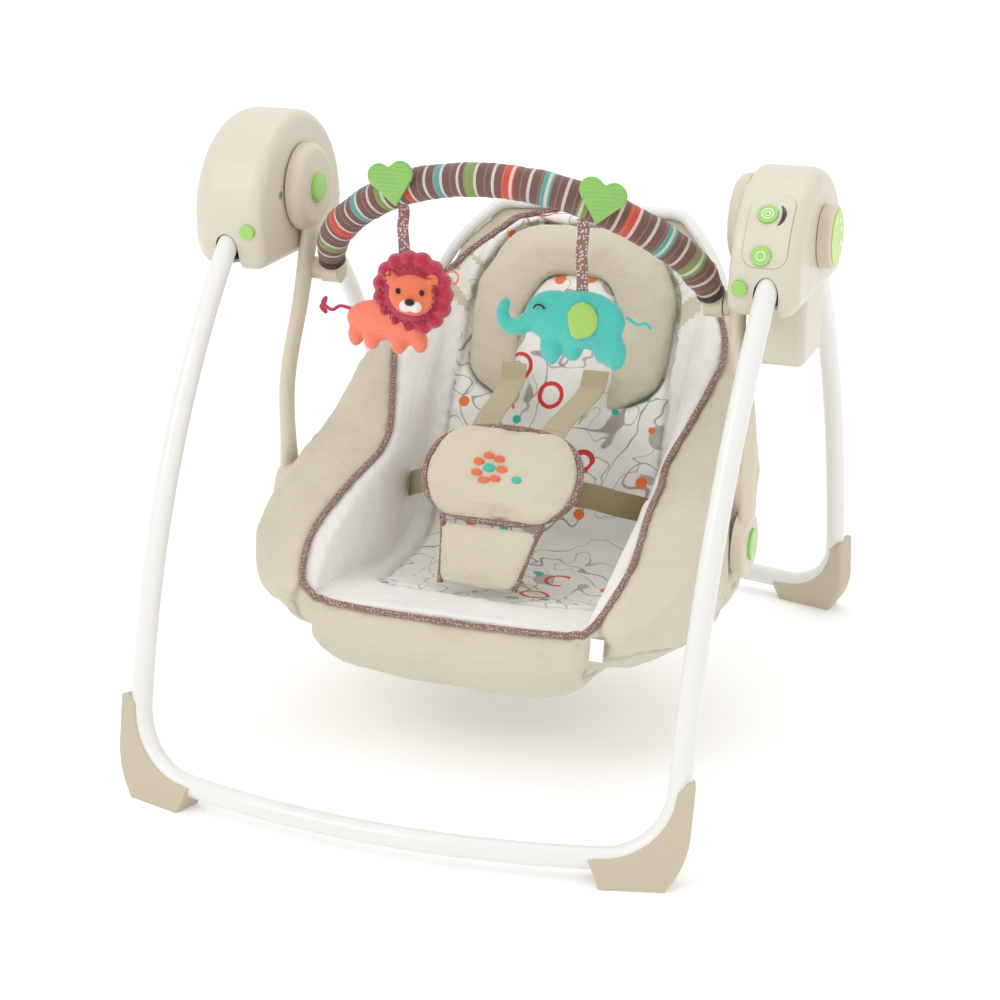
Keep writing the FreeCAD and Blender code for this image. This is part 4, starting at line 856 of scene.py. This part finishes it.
def ring(centre, axis, radius, start=0.0, sweep=math.tau, count=24):
    """Points of a circle, or part of one, about an axis."""
    across = axis.orthogonal().normalized()
    other = axis.cross(across).normalized()
    steps = count if sweep >= math.tau else count + 1
    return [centre + (across * math.cos(a) + other * math.sin(a)) * radius
            for a in (start + sweep * step / count for step in range(steps))]


def press_axis(name):
    """Outward direction of a panel button."""
    turn = math.radians(PRESS_ANGLES[name])
    return Vector((0, -math.cos(turn), math.sin(turn)))


def make_controls():
    for name, body, radii in (("music_button", "music_push", (5.0, 2.4)),
                              ("volume_button", "volume_push", (4.0,))):
        low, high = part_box(name)
        axis = press_axis(name)
        top = (low + high) / 2 + axis * 3.8 * MM
        for number, radius in enumerate(radii):
            mark = tube_mesh("mark", ring(top, axis, radius * MM), 0.45 * MM, closed=True, sides=2)
            as_piece(f"{name}_mark_{number}", mark, body, PALE_MARK)
    low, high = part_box("music_button")
    axis = press_axis("music_button")
    centre = (low + high) / 2 + axis * 1.1 * MM
    up = Vector((0, axis.z, -axis.y))
    arc = [centre + (Vector((1, 0, 0)) * math.cos(a) + up * math.sin(a)) * 14.5 * MM
           - axis * 1.2 * (math.sin(a) ** 2) * MM
           for a in (math.radians(-48 + 8 * step) for step in range(13))]
    widths = [0.25 + 0.75 * math.sin(math.pi * (step + 0.5) / 13) for step in range(13)]
    as_piece("beat_window", tube_mesh("window", arc, 2.4 * MM, widths=widths), "stand", SMOKE)
    low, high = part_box("dial_disc")
    centre = Vector((high.x, (low.y + high.y) / 2, (low.z + high.z) / 2))
    dots = bmesh.new()
    for step in range(6):
        angle = math.radians(-120 + 48 * step)
        size = 1.1 + 0.32 * step
        ball(dots, centre + mm(0, 16 * math.sin(angle), 16 * math.cos(angle)), mm(0.5, size, size))
    as_piece("dial_dots", dots, "dial", PALE_MARK)
    grip = tube_mesh("grip", ring(centre - mm(1.2, 0, 0), Vector((1, 0, 0)), 22.5 * MM), 0.8 * MM,
                     closed=True)
    as_piece("dial_rim", grip, "dial", DIAL_LIME)


# ------------------------------------------------------------ studio

def make_studio():
    floor = bmesh.new()
    bmesh.ops.create_grid(floor, x_segments=1, y_segments=1, size=9.0)
    mesh = bpy.data.meshes.new("floor")
    floor.to_mesh(mesh)
    floor.free()
    ground = bpy.data.objects.new("floor", mesh)
    ground.location.z = -0.0003
    bpy.context.collection.objects.link(ground)
    material, tree, shader, place = new_material("pale_floor")
    shader.inputs["Roughness"].default_value = 0.9
    tint = fill(tree, DRIFT, {"Vector": place, "Colour": (0.96, 0.96, 0.96, 1), "Scale": 0.8, "Amount": 0.01})
    shader.inputs["Emission Color"].default_value = (1.0, 1.0, 1.0, 1.0)
    shader.inputs["Emission Strength"].default_value = 0.1
    tree.links.new(tint.outputs[0], shader.inputs["Base Color"])
    mesh.materials.append(material)
    world = bpy.data.worlds.new("studio")
    world.use_nodes = True
    world.node_tree.nodes["Background"].inputs["Color"].default_value = (1.0, 1.0, 1.0, 1.0)
    world.node_tree.nodes["Background"].inputs["Strength"].default_value = 1.02
    bpy.context.scene.world = world
    lamps = (("key", (-1.6, -2.2, 2.6), 1.6, 20.0), ("fill", (2.4, -1.6, 1.8), 2.2, 3.0),
             ("top", (0.2, 0.6, 3.0), 2.0, 12.0))
    for name, spot, size, power in lamps:
        light = bpy.data.lights.new(name, "AREA")
        light.size = size
        light.energy = power
        lamp = bpy.data.objects.new(name, light)
        lamp.location = spot
        lamp.rotation_euler = (Vector((0, 0, 0.25)) - Vector(spot)).to_track_quat("-Z", "Y").to_euler()
        bpy.context.collection.objects.link(lamp)
    camera = bpy.data.objects.new("camera", bpy.data.cameras.new("camera"))
    camera.data.lens = 78.8
    camera.data.sensor_width = 36.0
    camera.location = (0.692, -1.9344, 0.936)
    target = Vector((-0.018, -0.0065, 0.2069))
    camera.rotation_euler = (target - camera.location).to_track_quat("-Z", "Y").to_euler()
    bpy.context.collection.objects.link(camera)
    bpy.context.scene.camera = camera
    bpy.context.scene.view_settings.view_transform = "Standard"


finish_nodes()
make_studio()
make_seat()
make_headrest()
make_harness()
make_toy_bar()
make_lion()
make_elephant()
make_controls()
